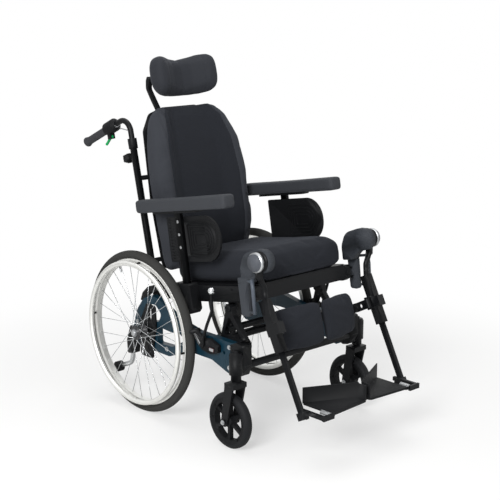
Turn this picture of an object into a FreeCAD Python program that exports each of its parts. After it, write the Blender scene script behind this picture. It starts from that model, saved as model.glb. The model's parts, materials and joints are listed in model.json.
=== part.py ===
"""Tilt-in-space wheelchair with recline, elevating legrests and a headrest.

Millimetres. +Z is up, the chair faces -Y and +X is the seated person's left.
The floor is Z = 0 and the origin lies under the middle of the chair's outline.
"""

import FreeCAD, Part

import math
import os

from FreeCAD import Vector

# Driving dimensions of the wheels
REAR_WHEEL_RADIUS = 305.0
REAR_TYRE_TUBE = 17.0
REAR_WHEEL_X = 300.0
AXLE_Y = 275.0
AXLE_Z = REAR_WHEEL_RADIUS
AXLE_SLEEVE_RADIUS = 14.0
AXLE_RADIUS = 6.35
HANDRIM_RADIUS = 262.0
HANDRIM_TUBE = 9.5
HANDRIM_OFFSET = 35.0
HANDRIM_TAB_ANGLES = (4.0, 94.0, 184.0, 274.0)
SPOKE_COUNT = 28
SPOKE_RADIUS = 1.1
CASTER_RADIUS = 100.0
CASTER_X = 305.0
CASTER_STEM_Y = -259.0
CASTER_TRAIL = 29.0

# Driving dimensions of the fixed frame
SIDE_FRAME_X = 263.0
SIDE_FRAME_THICKNESS = 26.0
TOWER_X = 225.0
TOWER_THICKNESS = 20.0
FRONT_TUBE = (-262.0, 296.0)
MIDDLE_TUBE = (-130.0, 388.0)
LOWER_TUBE = (-122.0, 352.0)
REAR_TUBE = (14.0, 300.0)
SPRING_X = -96.0
SPRING_FOOT = (-38.0, 266.0)
EAR_OFFSETS = (-17.0, 13.0)
EAR_THICKNESS = 4.0
EAR_REACH = 17.0
BRAKE_PIVOT = (-76.0, 338.0)
BRAKE_SHOE = (-38.0, 376.0)
ANTI_TIP_TOP = (362.0, 262.0)
ANTI_TIP_BEND = (384.0, 150.0)

# Tilting seat: seat coordinates start at SEAT_ORIGIN and lean back by SEAT_TILT
SEAT_TILT = 10.0
SEAT_ORIGIN = Vector(0, -140, 484)
TILT_PIVOT = (0.0, -16.0)
RAIL_X = 225.0
RAIL_HALF = 11.0
RAIL_BOTTOM = 5.0
RAIL_TOP = 62.0
RAIL_FRONT = -150.0
RAIL_REAR = 395.0
SEAT_HALF_WIDTH = 222.0
SEAT_PLATE_TOP = 66.0
SPRING_HEAD = (196.0, 18.0)
RECLINE_FOOT = (150.0, -2.0)
ARM_POST_Y = (160.0, 190.0)
ARM_POST_X = (256.0, 270.0)
ARM_BOTTOM = 333.0
SWING_X = 250.0
SWING_Y = -130.0

# Backrest: back coordinates start at the recline pivot, given in seat coordinates
RECLINE_PIVOT = (405.0, 40.0)
RECLINE_HEAD = (-14.0, -64.0)
RECLINE_SPRING_X = 100.0
BACK_LEAN = 3.0
POST_X = 230.0
POST_RADIUS = 13.0
POST_LENGTH = 565.0
HANDLE_RADIUS = 10.5
HANDLE_BEND = (4.0, 652.0)
HANDLE_END = (281.0, 594.0)
KNOB_Z = 500.0
CROSS_HEIGHTS = (110.0, 420.0)
CROSS_RADIUS = 9.0
HEADREST_X = -76.0
HEADREST_BALL = (20.0, 786.0)
HEADREST_PIN = 4.0

# Legs: leg coordinates start at the bend under the knee, local Z runs up the shin
KNEE = (-337.0, 673.0)
LEG_X = 252.0
SHIN_BEND = (-345.0, 535.0)
SHIN_LEAN = 27.0
FOOT_TUBE_TOP = -74.0
FOOT_TUBE_LENGTH = 404.0
FOOT_HINGE_X = 200.0
FOOT_HINGE_DROP = 5.0
FOOT_PLATE_Z = 198.0
CALF_LEAN = 13.0
CALF_SPLAY = 13.0
CALF_CENTRE = (-374.0, 424.0)
CALF_PIN_X = 221.0
CALF_PIN_Y = 4.0

# Distance from the origin of the drawing to the middle of the chair's outline
OUTLINE_CENTRE_Y = 36.39

RUNNING = 0.05
CLEAR = 0.5
SIDES = (("right", -1), ("left", 1))

X_AXIS = Vector(1, 0, 0)
Z_AXIS = Vector(0, 0, 1)
ZERO = Vector(0, 0, 0)


def block(x0, x1, y0, y1, z0, z1):
    """Box between two corners given in any order."""
    low = Vector(min(x0, x1), min(y0, y1), min(z0, z1))
    return Part.makeBox(abs(x1 - x0), abs(y1 - y0), abs(z1 - z0), low)


def bar(start, end, radius):
    """Round bar from one point to another."""
    run = end - start
    return Part.makeCylinder(radius, run.Length, start, run)


def pipe_bar(start, end, radius, wall):
    """Straight tube with a bore."""
    return bar(start, end, radius).cut(bar(start, end, radius - wall))


def disc(x0, x1, y, z, radius):
    """Disc or pin along X."""
    return bar(Vector(min(x0, x1), y, z), Vector(max(x0, x1), y, z), radius)


def rounded_edges(corners, closed):
    """Straight runs and tangent arcs through (point, radius) corners."""
    edges = []
    count = len(corners)
    entries = []
    exits = []
    for index, (point, radius) in enumerate(corners):
        inner = closed or 0 < index < count - 1
        if not inner or radius <= 0:
            entries.append(point)
            exits.append(point)
            continue
        before = (corners[index - 1][0] - point).normalize()
        after = (corners[(index + 1) % count][0] - point).normalize()
        half = before.getAngle(after) / 2
        reach = radius / math.tan(half)
        middle = (before + after).normalize() * (radius / math.sin(half) - radius)
        entries.append(point + before * reach)
        exits.append(point + after * reach)
        edges.append((index, Part.Arc(entries[-1], point + middle, exits[-1]).toShape()))
    for index in range(count if closed else count - 1):
        start = exits[index]
        end = entries[(index + 1) % count]
        if start.distanceToPoint(end) > 0.01:
            edges.append((index + 0.5, Part.LineSegment(start, end).toShape()))
    edges.sort(key=lambda item: item[0])
    return [edge for _, edge in edges]


def plate(outline, x0, x1):
    """Flat plate across X from (y, z, radius) corners."""
    left = min(x0, x1)
    corners = [(Vector(left, y, z), radius) for y, z, radius in outline]
    face = Part.Face(Part.Wire(rounded_edges(corners, True)))
    return face.extrude(Vector(abs(x1 - x0), 0, 0))


def slab(outline, z0, z1):
    """Flat plate across Z from (x, y, radius) corners."""
    corners = [(Vector(x, y, z0), radius) for x, y, radius in outline]
    face = Part.Face(Part.Wire(rounded_edges(corners, True)))
    return face.extrude(Vector(0, 0, z1 - z0))


def bent_bar(points, radius, bend):
    """Round bar along straight runs joined by arcs of one bend radius."""
    path = Part.Wire(rounded_edges([(point, bend) for point in points], False))
    start = points[0]
    circle = Part.Wire(Part.makeCircle(radius, start, points[1] - start))
    return path.makePipeShell([circle], True, False)


def bent_tube(points, radius, wall, bend):
    """Bent tube with a bore, open at both ends."""
    return bent_bar(points, radius, bend).cut(bent_bar(points, radius - wall, bend))


def ring_of(profile, x, y, z):
    """Solid of revolution about X from (along x, radius) corners."""
    points = [Vector(x + along, y, z + radius) for along, radius in profile]
    points.append(points[0])
    return Part.Face(Part.makePolygon(points)).revolve(Vector(x, y, z), X_AXIS, 360)


def tapered_edges(shape, radius, chosen):
    """Fillet of the edges that a test picks out."""
    edges = [edge for edge in shape.Edges if chosen(edge)]
    return shape.makeFillet(radius, edges)


def seat_place(shape):
    """Turn seat coordinates into the chair's own frame."""
    moved = shape.copy()
    moved.rotate(ZERO, X_AXIS, -SEAT_TILT)
    moved.translate(SEAT_ORIGIN)
    return moved


def back_place(shape):
    """Turn back coordinates into the chair's own frame."""
    moved = shape.copy()
    moved.rotate(ZERO, X_AXIS, -BACK_LEAN)
    moved.translate(Vector(0, *RECLINE_PIVOT))
    return seat_place(moved)


def shin_place(shape):
    """Turn leg coordinates into the chair's own frame."""
    moved = shape.copy()
    moved.rotate(ZERO, X_AXIS, -SHIN_LEAN)
    moved.translate(Vector(0, *SHIN_BEND))
    return moved


def fused(shapes):
    """One solid from touching shapes, without inner seams."""
    whole = shapes[0].multiFuse(shapes[1:]) if len(shapes) > 1 else shapes[0]
    return whole.removeSplitter()


def group(shapes):
    """Several separate solids of one node."""
    return Part.makeCompound(shapes)


def dome_section(at, half_width, low, high, crown, bulge):
    """Cushion section across X at one Y: flat below, arched sides, crowned top."""
    corner_low = high - (high - low) * 0.72
    left_low = Vector(-half_width, at, corner_low)
    right_low = Vector(half_width, at, corner_low)
    left_high = Vector(-half_width * 0.93, at, high)
    right_high = Vector(half_width * 0.93, at, high)
    foot_left = Vector(-half_width * 0.96, at, low)
    foot_right = Vector(half_width * 0.96, at, low)
    side = (corner_low + high) / 2
    top = high + crown
    return Part.Wire([
        Part.LineSegment(foot_left, foot_right).toShape(),
        Part.LineSegment(foot_right, right_low).toShape(),
        Part.Arc(right_low, Vector(half_width + bulge, at, side), right_high).toShape(),
        Part.Arc(right_high, Vector(0, at, top), left_high).toShape(),
        Part.Arc(left_high, Vector(-half_width - bulge, at, side), left_low).toShape(),
        Part.LineSegment(left_low, foot_left).toShape(),
    ])


def shell_section(z, half_width, rear, wing, hollow):
    """Back cushion section at one height: flat rear, rounded wings, hollow front."""
    edge = half_width
    inner = half_width * 0.72
    rear_left = Vector(-edge * 0.86, rear, z)
    rear_right = Vector(edge * 0.86, rear, z)
    side_y = (rear + wing) / 2
    tip_left = Vector(-edge * 0.88, wing, z)
    tip_right = Vector(edge * 0.88, wing, z)
    return Part.Wire([
        Part.LineSegment(rear_left, rear_right).toShape(),
        Part.Arc(rear_right, Vector(edge, side_y, z), tip_right).toShape(),
        Part.Arc(tip_right, Vector(inner * 0.62, hollow - 4, z), Vector(0, hollow, z)).toShape(),
        Part.Arc(Vector(0, hollow, z), Vector(-inner * 0.62, hollow - 4, z), tip_left).toShape(),
        Part.Arc(tip_left, Vector(-edge, side_y, z), rear_left).toShape(),
    ])


def side_frame(side):
    """Welded side frame: front plate, lower rail and the arch over the axle."""
    outline = [
        (-212, 364, 8), (-212, 247, 8), (-180, 254, 12), (-100, 281, 40), (5, 281, 60),
        (85, 256, 50), (135, 235, 40), (300, 238, 25), (345, 290, 30), (345, 320, 30),
        (322, 380, 60), (285, 426, 40), (240, 446, 40), (190, 440, 40), (98, 389, 80),
        (-20, 366, 80),
    ]
    arch = [
        (289, 345, 12), (272, 398, 25), (244, 414, 18), (212, 414, 18), (180, 385, 15),
        (196, 354, 8), (250, 345, 8),
    ]
    lens = [
        (204, 272, 8), (118, 276, 30), (72, 300, 14), (46, 318, 8), (74, 334, 12),
        (128, 330, 30), (204, 336, 10),
    ]
    x0 = side * (SIDE_FRAME_X - SIDE_FRAME_THICKNESS / 2)
    x1 = side * (SIDE_FRAME_X + SIDE_FRAME_THICKNESS / 2)
    body = plate(outline, x0, x1).cut(plate(arch, x0, x1)).cut(plate(lens, x0, x1))
    body = body.cut(disc(x0, x1, AXLE_Y, AXLE_Z, AXLE_SLEEVE_RADIUS))
    return body.cut(disc(x0, x1, -166, 321, 6))


def chassis_head(side):
    """Black block at the frame's front corner that carries the caster housing."""
    outline = [
        (-213, 364, 6), (-213, 268, 6), (-238, 256, 8), (-266, 262, 10), (-280, 300, 10), (-276, 372, 8),
        (-240, 376, 10),
    ]
    head = plate(outline, side * 250, side * 290)
    rib = plate([(-213, 360, 4), (-213, 280, 4), (-250, 276, 8), (-250, 366, 8)], side * 240, side * 250)
    return fused([head, rib])


def spring_ear(x):
    """Ear on the rear cross tube that holds the tilt spring's foot pin."""
    y, z = SPRING_FOOT
    outline = [
        (24, 294, 4), (y, z - 12, 6), (y - 12, z - 4, 8), (y - 8, z + 12, 8), (10, 316, 6), (24, 312, 4),
    ]
    far = x + EAR_THICKNESS
    return plate(outline, x, far).cut(disc(x, far, y, z, 5 + RUNNING))


def cross_frame():
    """Front blocks, the tubes that join the two sides, and a ring for a transport strap."""
    heads = [chassis_head(side) for _, side in SIDES]
    front = pipe_bar(Vector(-250, *FRONT_TUBE), Vector(250, *FRONT_TUBE), 13, 2)
    front = front.cut(heads[0]).cut(heads[1])
    inner = SIDE_FRAME_X - SIDE_FRAME_THICKNESS / 2
    rear = pipe_bar(Vector(-inner, *REAR_TUBE), Vector(inner, *REAR_TUBE), 13, 2)
    ears = [spring_ear(SPRING_X + offset).cut(disc(-inner, inner, *REAR_TUBE, 13)) for offset in EAR_OFFSETS]
    pin = disc(SPRING_X - EAR_REACH, SPRING_X + EAR_REACH, *SPRING_FOOT, 5)
    return group(heads + [front, rear] + ears + [pin])


def strap_ring():
    """Flat ring under the tower's lower cross tube."""
    y, z = LOWER_TUBE
    ring = disc(-156, -148, y - 20, z - 34, 27).cut(disc(-156, -148, y - 20, z - 34, 15))
    return ring.cut(disc(-160, -140, y, z, 12))


def tower(side):
    """Open A-shaped post that carries the seat's tilt pivot."""
    pivot = seat_point(*TILT_PIVOT)
    x0 = side * (TOWER_X - TOWER_THICKNESS / 2)
    x1 = side * (TOWER_X + TOWER_THICKNESS / 2)
    outline = [
        (pivot.y - 16, pivot.z + 14, 12), (pivot.y - 22, pivot.z - 20, 20), (-236, 362, 8), (-213, 362, 3),
        (-213, 338, 3), (-98, 338, 3), (pivot.y + 18, pivot.z - 20, 30), (pivot.y + 16, pivot.z + 14, 12),
    ]
    opening = [(pivot.y, pivot.z - 28, 6), (-214, 370, 6), (-118, 370, 8)]
    body = plate(outline, x0, x1).cut(plate(opening, x0, x1))
    body = body.cut(disc(x0, x1, pivot.y, pivot.z, 8))
    for tube in (MIDDLE_TUBE, LOWER_TUBE):
        body = body.cut(disc(x0, side * (TOWER_X + 4), *tube, 12))
    foot = block(x1, side * 250, -206, -150, 340, 356)
    return fused([body, foot])


def tower_set():
    """Both towers, their two cross tubes, and the tilt pivot pins."""
    pivot = seat_point(*TILT_PIVOT)
    outer = TOWER_X + TOWER_THICKNESS / 2
    reach = TOWER_X + 4
    lines = (MIDDLE_TUBE, LOWER_TUBE)
    tubes = [pipe_bar(Vector(-reach, *line), Vector(reach, *line), 12, 2) for line in lines]
    pins = []
    for _, side in SIDES:
        shaft = disc(side * 203, side * outer, pivot.y, pivot.z, 8)
        pins.append(fused([shaft, disc(side * outer, side * (outer + 5), pivot.y, pivot.z, 13)]))
    return group([tower(side) for _, side in SIDES] + tubes + pins + [strap_ring()])


def axle_bracket(side):
    """Upright plate with the axle sleeve and the anti-tipper socket."""
    inner = side * (SIDE_FRAME_X + SIDE_FRAME_THICKNESS / 2)
    outer = side * (SIDE_FRAME_X + SIDE_FRAME_THICKNESS / 2 + 6)
    outline = [
        (210, 410, 10), (205, 330, 10), (222, 260, 8), (226, 206, 10), (298, 206, 14),
        (304, 330, 16), (268, 400, 14), (262, 412, 8),
    ]
    slot = [(232, 396, 5), (232, 350, 5), (244, 350, 5), (244, 396, 5)]
    body = plate(outline, inner, outer).cut(plate(slot, inner, outer))
    sleeve = disc(side * 243, outer, AXLE_Y, AXLE_Z, AXLE_SLEEVE_RADIUS)
    body = body.cut(sleeve)
    bore = disc(side * 240, side * 300, AXLE_Y, AXLE_Z, AXLE_RADIUS)
    bolts = [disc(outer, side * 288, y, z, 7) for y, z in ((216, 314), (250, 376), (246, 226))]
    return fused([body, sleeve.cut(bore)] + bolts)


def tie_down(side):
    """Curved tie-down hook above the arch."""
    x0 = side * (SIDE_FRAME_X - 8)
    x1 = side * (SIDE_FRAME_X + 8)
    outline = [
        (312, 407, 4), (296, 446, 14), (262, 476, 24), (214, 486, 6), (210, 466, 6), (248, 456, 14),
        (270, 436, 8),
    ]
    return plate(outline, x0, x1).cut(side_frame(side))


def anti_tip_socket(side):
    """Clamp block behind the axle that holds the anti-tipper tube."""
    outline = [(300, 300, 6), (300, 262, 6), (346, 240, 6), (352, 196, 6), (392, 188, 8), (396, 240, 14),
               (372, 304, 10)]
    body = plate(outline, side * 246, side * 274)
    top = Vector(side * 260, *ANTI_TIP_TOP)
    run = (Vector(side * 260, *ANTI_TIP_BEND) - top).normalize()
    return body.cut(bar(top - run * 2, top + run * 100, 9 + RUNNING)).cut(side_frame(side))


def anti_tipper(side):
    """Bright bent tube with a soft roller at its end."""
    x = side * 260
    end = Vector(x, 448, 122)
    tube = bent_tube([Vector(x, *ANTI_TIP_TOP), Vector(x, *ANTI_TIP_BEND), end], 9, 2, 30)
    roller = disc(x - 12, x + 12, end.y + 20, end.z - 9, 20)
    plug = bar(end, end + Vector(0, 26, -11), 9)
    return group([tube, fused([plug, roller])])


def wheel_axles():
    """Quick-release axles, fixed in the brackets, with a button on the outside."""
    pins = []
    for _, side in SIDES:
        shaft = disc(side * 246, side * 331, AXLE_Y, AXLE_Z, AXLE_RADIUS)
        head = disc(side * 331, side * 336, AXLE_Y, AXLE_Z, 11)
        pins.append(fused([shaft, head]))
    return group(pins)


def caster_housing(side):
    """Upright bearing housing with a domed cap."""
    foot = Vector(side * CASTER_X, CASTER_STEM_Y, 251)
    body = bar(foot, foot + Vector(0, 0, 22), 18)
    drum = bar(foot + Vector(0, 0, 22), foot + Vector(0, 0, 92), 24)
    cap = bar(foot + Vector(0, 0, 92), foot + Vector(0, 0, 98), 21)
    button = bar(foot + Vector(0, 0, 98), foot + Vector(0, 0, 106), 9)
    whole = fused([body, drum, cap, button]).cut(chassis_head(side))
    return whole.cut(bar(foot, foot + Vector(0, 0, 86), 9 + RUNNING))


def brake_mount(side):
    """Clamp on the frame rail that the brake lever turns in."""
    x0 = side * (SIDE_FRAME_X + SIDE_FRAME_THICKNESS / 2)
    x1 = side * 292
    outline = [(-62, 352, 6), (-58, 314, 6), (-110, 306, 8), (-150, 318, 8), (-150, 344, 8), (-104, 360, 8)]
    body = plate(outline, x0, x1)
    pivot = disc(x0, side * 306, BRAKE_PIVOT[0], BRAKE_PIVOT[1], 5)
    return fused([body, pivot])


def brake_lever(side):
    """Hand lever, alloy shoe bar across the tyre, and a round knob."""
    x0 = side * 297
    x1 = side * 304
    pivot_y, pivot_z = BRAKE_PIVOT
    shoe_y, shoe_z = BRAKE_SHOE
    outline = [
        (pivot_y - 11, pivot_z - 11, 9), (pivot_y + 11, pivot_z - 11, 9), (shoe_y + 8, shoe_z - 6, 6),
        (shoe_y + 6, shoe_z + 9, 6), (shoe_y - 12, shoe_z + 9, 6), (pivot_y - 12, pivot_z + 30, 6),
    ]
    arm = plate(outline, x0, x1).cut(disc(x0, x1, pivot_y, pivot_z, 5 + RUNNING))
    shoe = disc(side * 278.5, side * 320, shoe_y, shoe_z, 8)
    line = [
        Vector(side * 300, pivot_y - 4, pivot_z + 14), Vector(side * 296, pivot_y - 22, pivot_z + 70),
        Vector(side * 291, pivot_y - 44, pivot_z + 126), Vector(side * 291, pivot_y - 43, 526),
    ]
    stem = bent_bar(line, 5.5, 40)
    knob = Part.makeSphere(13, Vector(side * 291, pivot_y - 43, 536))
    return fused([arm, shoe, stem, knob])


def rear_tyre(side):
    """Pneumatic tyre."""
    centre = Vector(side * REAR_WHEEL_X, AXLE_Y, AXLE_Z)
    middle = REAR_WHEEL_RADIUS - REAR_TYRE_TUBE
    tyre = Part.makeTorus(middle, REAR_TYRE_TUBE, centre, X_AXIS)
    return tyre.cut(rear_rim(side))


def rear_rim(side):
    """Double-wall rim."""
    profile = [(-11, 259), (11, 259), (12, 262), (12, 279), (9, 281), (-9, 281), (-12, 279), (-12, 262)]
    return ring_of(profile, side * REAR_WHEEL_X, AXLE_Y, AXLE_Z)


def wheel_spokes(side):
    """Hub shell with two flanges, its bush, and crossing spokes up to the rim."""
    x = side * REAR_WHEEL_X
    shell = [(-15, 7.6), (29, 7.6), (29, 15), (24, 15), (24, 27), (20, 27), (20, 15), (-10, 15), (-10, 27),
             (-14, 27), (-15, 15)]
    bore = AXLE_RADIUS + RUNNING
    hub = ring_of([(side * along, radius) for along, radius in shell], x, AXLE_Y, AXLE_Z)
    profile = [(side * -15, bore), (side * 29, bore), (side * 29, 7.6), (side * -15, 7.6)]
    bush = ring_of(profile, x, AXLE_Y, AXLE_Z)
    spokes = []
    for index in range(SPOKE_COUNT):
        turn = 2 * math.pi * index / SPOKE_COUNT
        lean = math.radians(52 if index % 4 < 2 else -52)
        flange = side * (22 if index % 2 else -12)
        start = Vector(x + flange, AXLE_Y + 27 * math.cos(turn + lean), AXLE_Z + 27 * math.sin(turn + lean))
        end = Vector(x, AXLE_Y + 258.7 * math.cos(turn), AXLE_Z + 258.7 * math.sin(turn))
        spokes.append(bar(start, end, SPOKE_RADIUS))
    return group([hub, bush] + spokes)


def handrim(side):
    """Push ring with four tabs to the rim."""
    x = side * (REAR_WHEEL_X + HANDRIM_OFFSET)
    centre = Vector(x, AXLE_Y, AXLE_Z)
    ring = Part.makeTorus(HANDRIM_RADIUS, HANDRIM_TUBE, centre, X_AXIS)
    rim = rear_rim(side)
    tabs = []
    for angle in HANDRIM_TAB_ANGLES:
        turn = math.radians(angle)
        foot = Vector(side * (REAR_WHEEL_X + 12), AXLE_Y + 268 * math.cos(turn), AXLE_Z + 268 * math.sin(turn))
        head = Vector(x, AXLE_Y + 264 * math.cos(turn), AXLE_Z + 264 * math.sin(turn))
        tabs.append(bar(foot, head, 4).cut(ring).cut(rim))
    return fused([ring] + tabs)


def caster_fork(side):
    """Fork with its stem, and the wheel's axle bolt."""
    x = side * CASTER_X
    wheel_y = CASTER_STEM_Y + CASTER_TRAIL
    crown = block(x - 31, x + 31, CASTER_STEM_Y - 20, CASTER_STEM_Y + 26, 226, 244)
    stem = Part.makeCylinder(9, 90, Vector(x, CASTER_STEM_Y, 244), Z_AXIS)
    washer = Part.makeCylinder(15, 6, Vector(x, CASTER_STEM_Y, 244), Z_AXIS)
    legs = []
    for edge in (-1, 1):
        outline = [
            (CASTER_STEM_Y - 18, 240, 4), (wheel_y - 15, CASTER_RADIUS, 12), (wheel_y - 10, CASTER_RADIUS - 16, 9),
            (wheel_y + 10, CASTER_RADIUS - 16, 9), (wheel_y + 15, CASTER_RADIUS, 12), (CASTER_STEM_Y + 24, 240, 4),
        ]
        legs.append(plate(outline, x + edge * 24, x + edge * 31))
    frame = fused([crown, stem, washer] + legs).cut(disc(x - 40, x + 40, wheel_y, CASTER_RADIUS, 4))
    bolt = disc(x - 31, x + 31, wheel_y, CASTER_RADIUS, 4)
    heads = [disc(x + edge * 31, x + edge * 36, wheel_y, CASTER_RADIUS, 7) for edge in (-1, 1)]
    return group([frame, fused([bolt] + heads)])


def caster_wheel(side):
    """Solid tyre on a six-spoke core."""
    x = side * CASTER_X
    wheel_y = CASTER_STEM_Y + CASTER_TRAIL
    tyre = ring_of([(-13, 77), (13, 77), (17, 84), (15.5, 93), (8, 99), (0, CASTER_RADIUS), (-8, 99),
                    (-15.5, 93), (-17, 84)], x, wheel_y, CASTER_RADIUS)
    felloe = ring_of([(-13, 68), (13, 68), (13, 77), (-13, 77)], x, wheel_y, CASTER_RADIUS)
    hub = ring_of([(-21, 4 + RUNNING), (21, 4 + RUNNING), (21, 12), (16, 20), (-16, 20), (-21, 12)],
                  x, wheel_y, CASTER_RADIUS)
    parts = [felloe, hub]
    for index in range(6):
        spoke = block(x - 8, x + 8, wheel_y - 6, wheel_y + 6, CASTER_RADIUS + 17, CASTER_RADIUS + 70)
        spoke.rotate(Vector(x, wheel_y, CASTER_RADIUS), X_AXIS, 60 * index)
        parts.append(spoke)
    return group([tyre, fused(parts)])


def seat_point(y, z):
    """Seat coordinates to the chair's own frame, on the middle plane."""
    lean = math.radians(-SEAT_TILT)
    turned = Vector(0, y * math.cos(lean) - z * math.sin(lean), y * math.sin(lean) + z * math.cos(lean))
    return SEAT_ORIGIN + turned


def seat_rail(side):
    """Deep side rail with its tilt lug and the two lugs of the leg's swing pin."""
    inner = RAIL_X - RAIL_HALF
    outer = RAIL_X + RAIL_HALF
    rail = plate([(RAIL_FRONT, RAIL_BOTTOM + 10, 6), (RAIL_FRONT + 20, RAIL_BOTTOM, 10), (170, RAIL_BOTTOM, 10),
                  (RAIL_REAR, 14, 8), (424, 22, 16), (424, 58, 16), (RAIL_REAR, RAIL_TOP, 6),
                  (RAIL_FRONT, RAIL_TOP, 6)], side * inner, side * outer)
    rail = rail.cut(disc(side * inner, side * outer, *RECLINE_PIVOT, 8 + RUNNING))
    lug = plate([(-34, 56, 4), (-16, -32, 12), (16, -32, 12), (34, 56, 4)], side * 205, side * inner)
    lug = lug.cut(disc(side * 205, side * inner, *TILT_PIVOT, 8 + RUNNING))
    parts = [rail, lug]
    for low in (12.0, 44.0):
        parts.append(block(side * outer, side * SWING_X, SWING_Y - 12, SWING_Y + 12, low, low + 6))
        parts.append(bar(Vector(side * SWING_X, SWING_Y, low), Vector(side * SWING_X, SWING_Y, low + 6), 12))
    parts.append(bar(Vector(side * SWING_X, SWING_Y, 12), Vector(side * SWING_X, SWING_Y, 50), 6))
    return fused(parts)


def seat_frame():
    """Two rails, cross tubes, the board under the cushion, and ears for the two springs."""
    inner = RAIL_X - RAIL_HALF
    parts = [seat_rail(side) for _, side in SIDES]
    for y in (-120.0, 120.0, 300.0):
        parts.append(pipe_bar(Vector(-inner, y, 32), Vector(inner, y, 32), 12, 2))
    head_y, head_z = SPRING_HEAD
    foot_y, foot_z = RECLINE_FOOT
    bar_cut = disc(-inner, inner, 120, 32, 12)
    for offset in EAR_OFFSETS:
        x = SPRING_X + offset
        far = x + EAR_THICKNESS
        ear = plate([(108, 22, 6), (head_y - 10, head_z - 12, 8), (head_y + 12, head_z - 12, 8),
                     (head_y + 12, head_z + 12, 8), (108, 46, 6)], x, far)
        parts.append(ear.cut(disc(x, far, head_y, head_z, 9)).cut(bar_cut))
        x = RECLINE_SPRING_X + offset
        far = x + EAR_THICKNESS
        ear = plate([(108, 28, 6), (foot_y - 10, foot_z - 10, 8), (foot_y + 10, foot_z - 10, 8), (134, 46, 6),
                     (108, 46, 6)], x, far)
        parts.append(ear.cut(disc(x, far, foot_y, foot_z, 5 + RUNNING)).cut(bar_cut))
    parts.append(disc(RECLINE_SPRING_X - EAR_REACH, RECLINE_SPRING_X + EAR_REACH, foot_y, foot_z, 5))
    outline = [(-SEAT_HALF_WIDTH, -146, 20), (SEAT_HALF_WIDTH, -146, 20), (SEAT_HALF_WIDTH, 312, 12),
               (-SEAT_HALF_WIDTH, 312, 12)]
    parts.append(slab(outline, RAIL_TOP, SEAT_PLATE_TOP))
    parts.append(block(-inner, inner, RAIL_FRONT + 2, RAIL_FRONT + 14, 12, RAIL_TOP))
    return seat_place(group(parts))


def seat_cushion():
    """Seat cushion: crowned top, bulging sides, a rolled front and a raised thigh edge."""
    low = SEAT_PLATE_TOP
    sections = [
        dome_section(-152, 204, low, 150, 3, 1),
        dome_section(-134, 216, low, 168, 6, 3),
        dome_section(-95, 219, low, 178, 8, 4),
        dome_section(60, 219, low, 174, 6, 4),
        dome_section(220, 219, low, 180, 6, 4),
        dome_section(296, 213, low, 178, 5, 2),
        dome_section(306, 206, low, 168, 3, 1),
    ]
    body = Part.makeLoft(sections, True, False)
    return seat_place(body)


def arm_socket(side):
    """Socket block beside the rail that the armrest's post slides in."""
    outer_rail = RAIL_X + 11
    outline = [(146, 74, 8), (140, -20, 12), (156, -34, 10), (196, -34, 10), (208, -16, 12), (204, 74, 8)]
    body = plate(outline, side * outer_rail, side * 278)
    hole = block(side * (ARM_POST_X[0] - CLEAR), side * (ARM_POST_X[1] + CLEAR), ARM_POST_Y[0] - CLEAR,
                 ARM_POST_Y[1] + CLEAR, -60, 90)
    return seat_place(body.cut(hole))


def back_post(side):
    """Back tube with its clamp collar, knob boss and recline pin."""
    x = side * POST_X
    outer = RAIL_X + RAIL_HALF
    tube = pipe_bar(Vector(x, 0, 27), Vector(x, 0, POST_LENGTH), POST_RADIUS, 2)
    collar = pipe_bar(Vector(x, 0, POST_LENGTH - 34), Vector(x, 0, POST_LENGTH), POST_RADIUS + 4, 4)
    top = POST_RADIUS + 4
    lip = pipe_bar(Vector(x, 0, POST_LENGTH), Vector(x, 0, POST_LENGTH + 4), top, top - HANDLE_RADIUS - RUNNING)
    fork_in = side * (RAIL_X - 19)
    cheek = plate([(-16, -16, 15), (16, -16, 15), (16, 40, 4), (-16, 40, 4)], fork_in, side * (RAIL_X - 11.5))
    pin = disc(fork_in, side * (outer + 4), 0, 0, 8)
    link = block(fork_in, side * (POST_X + 10), -9, 9, 28, 42)
    link = link.cut(bar(Vector(x, 0, 20), Vector(x, 0, 60), POST_RADIUS))
    boss = bar(Vector(x, 9, KNOB_Z), Vector(x, 26, KNOB_Z), 9).cut(bar(Vector(x, 0, 400), Vector(x, 0, 560), 12))
    post = fused([tube, collar, lip, cheek, pin, link, boss])
    return post.cut(bar(Vector(x, 6, KNOB_Z), Vector(x, 60, KNOB_Z), 4 + RUNNING))


def back_frame():
    """Two back tubes on their pivot pins, with the cross tubes and the recline spring's ears."""
    parts = [back_post(side) for _, side in SIDES]
    for z in CROSS_HEIGHTS:
        cross = bar(Vector(-POST_X, 0, z), Vector(POST_X, 0, z), CROSS_RADIUS)
        for _, side in SIDES:
            cross = cross.cut(bar(Vector(side * POST_X, 0, z - 30), Vector(side * POST_X, 0, z + 30), POST_RADIUS))
        parts.append(cross)
    head_y, head_z = RECLINE_HEAD
    for offset in EAR_OFFSETS:
        x = RECLINE_SPRING_X + offset
        ear = plate([(-8, 114, 3), (head_y - 12, head_z + 12, 4), (head_y - 10, head_z - 10, 8),
                     (head_y + 10, head_z - 10, 8), (10, 114, 3)], x, x + EAR_THICKNESS)
        far = x + EAR_THICKNESS
        parts.append(ear.cut(disc(x, far, head_y, head_z, 9)).cut(disc(x, far, 0, CROSS_HEIGHTS[0], CROSS_RADIUS)))
    return back_place(group(parts))


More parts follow.
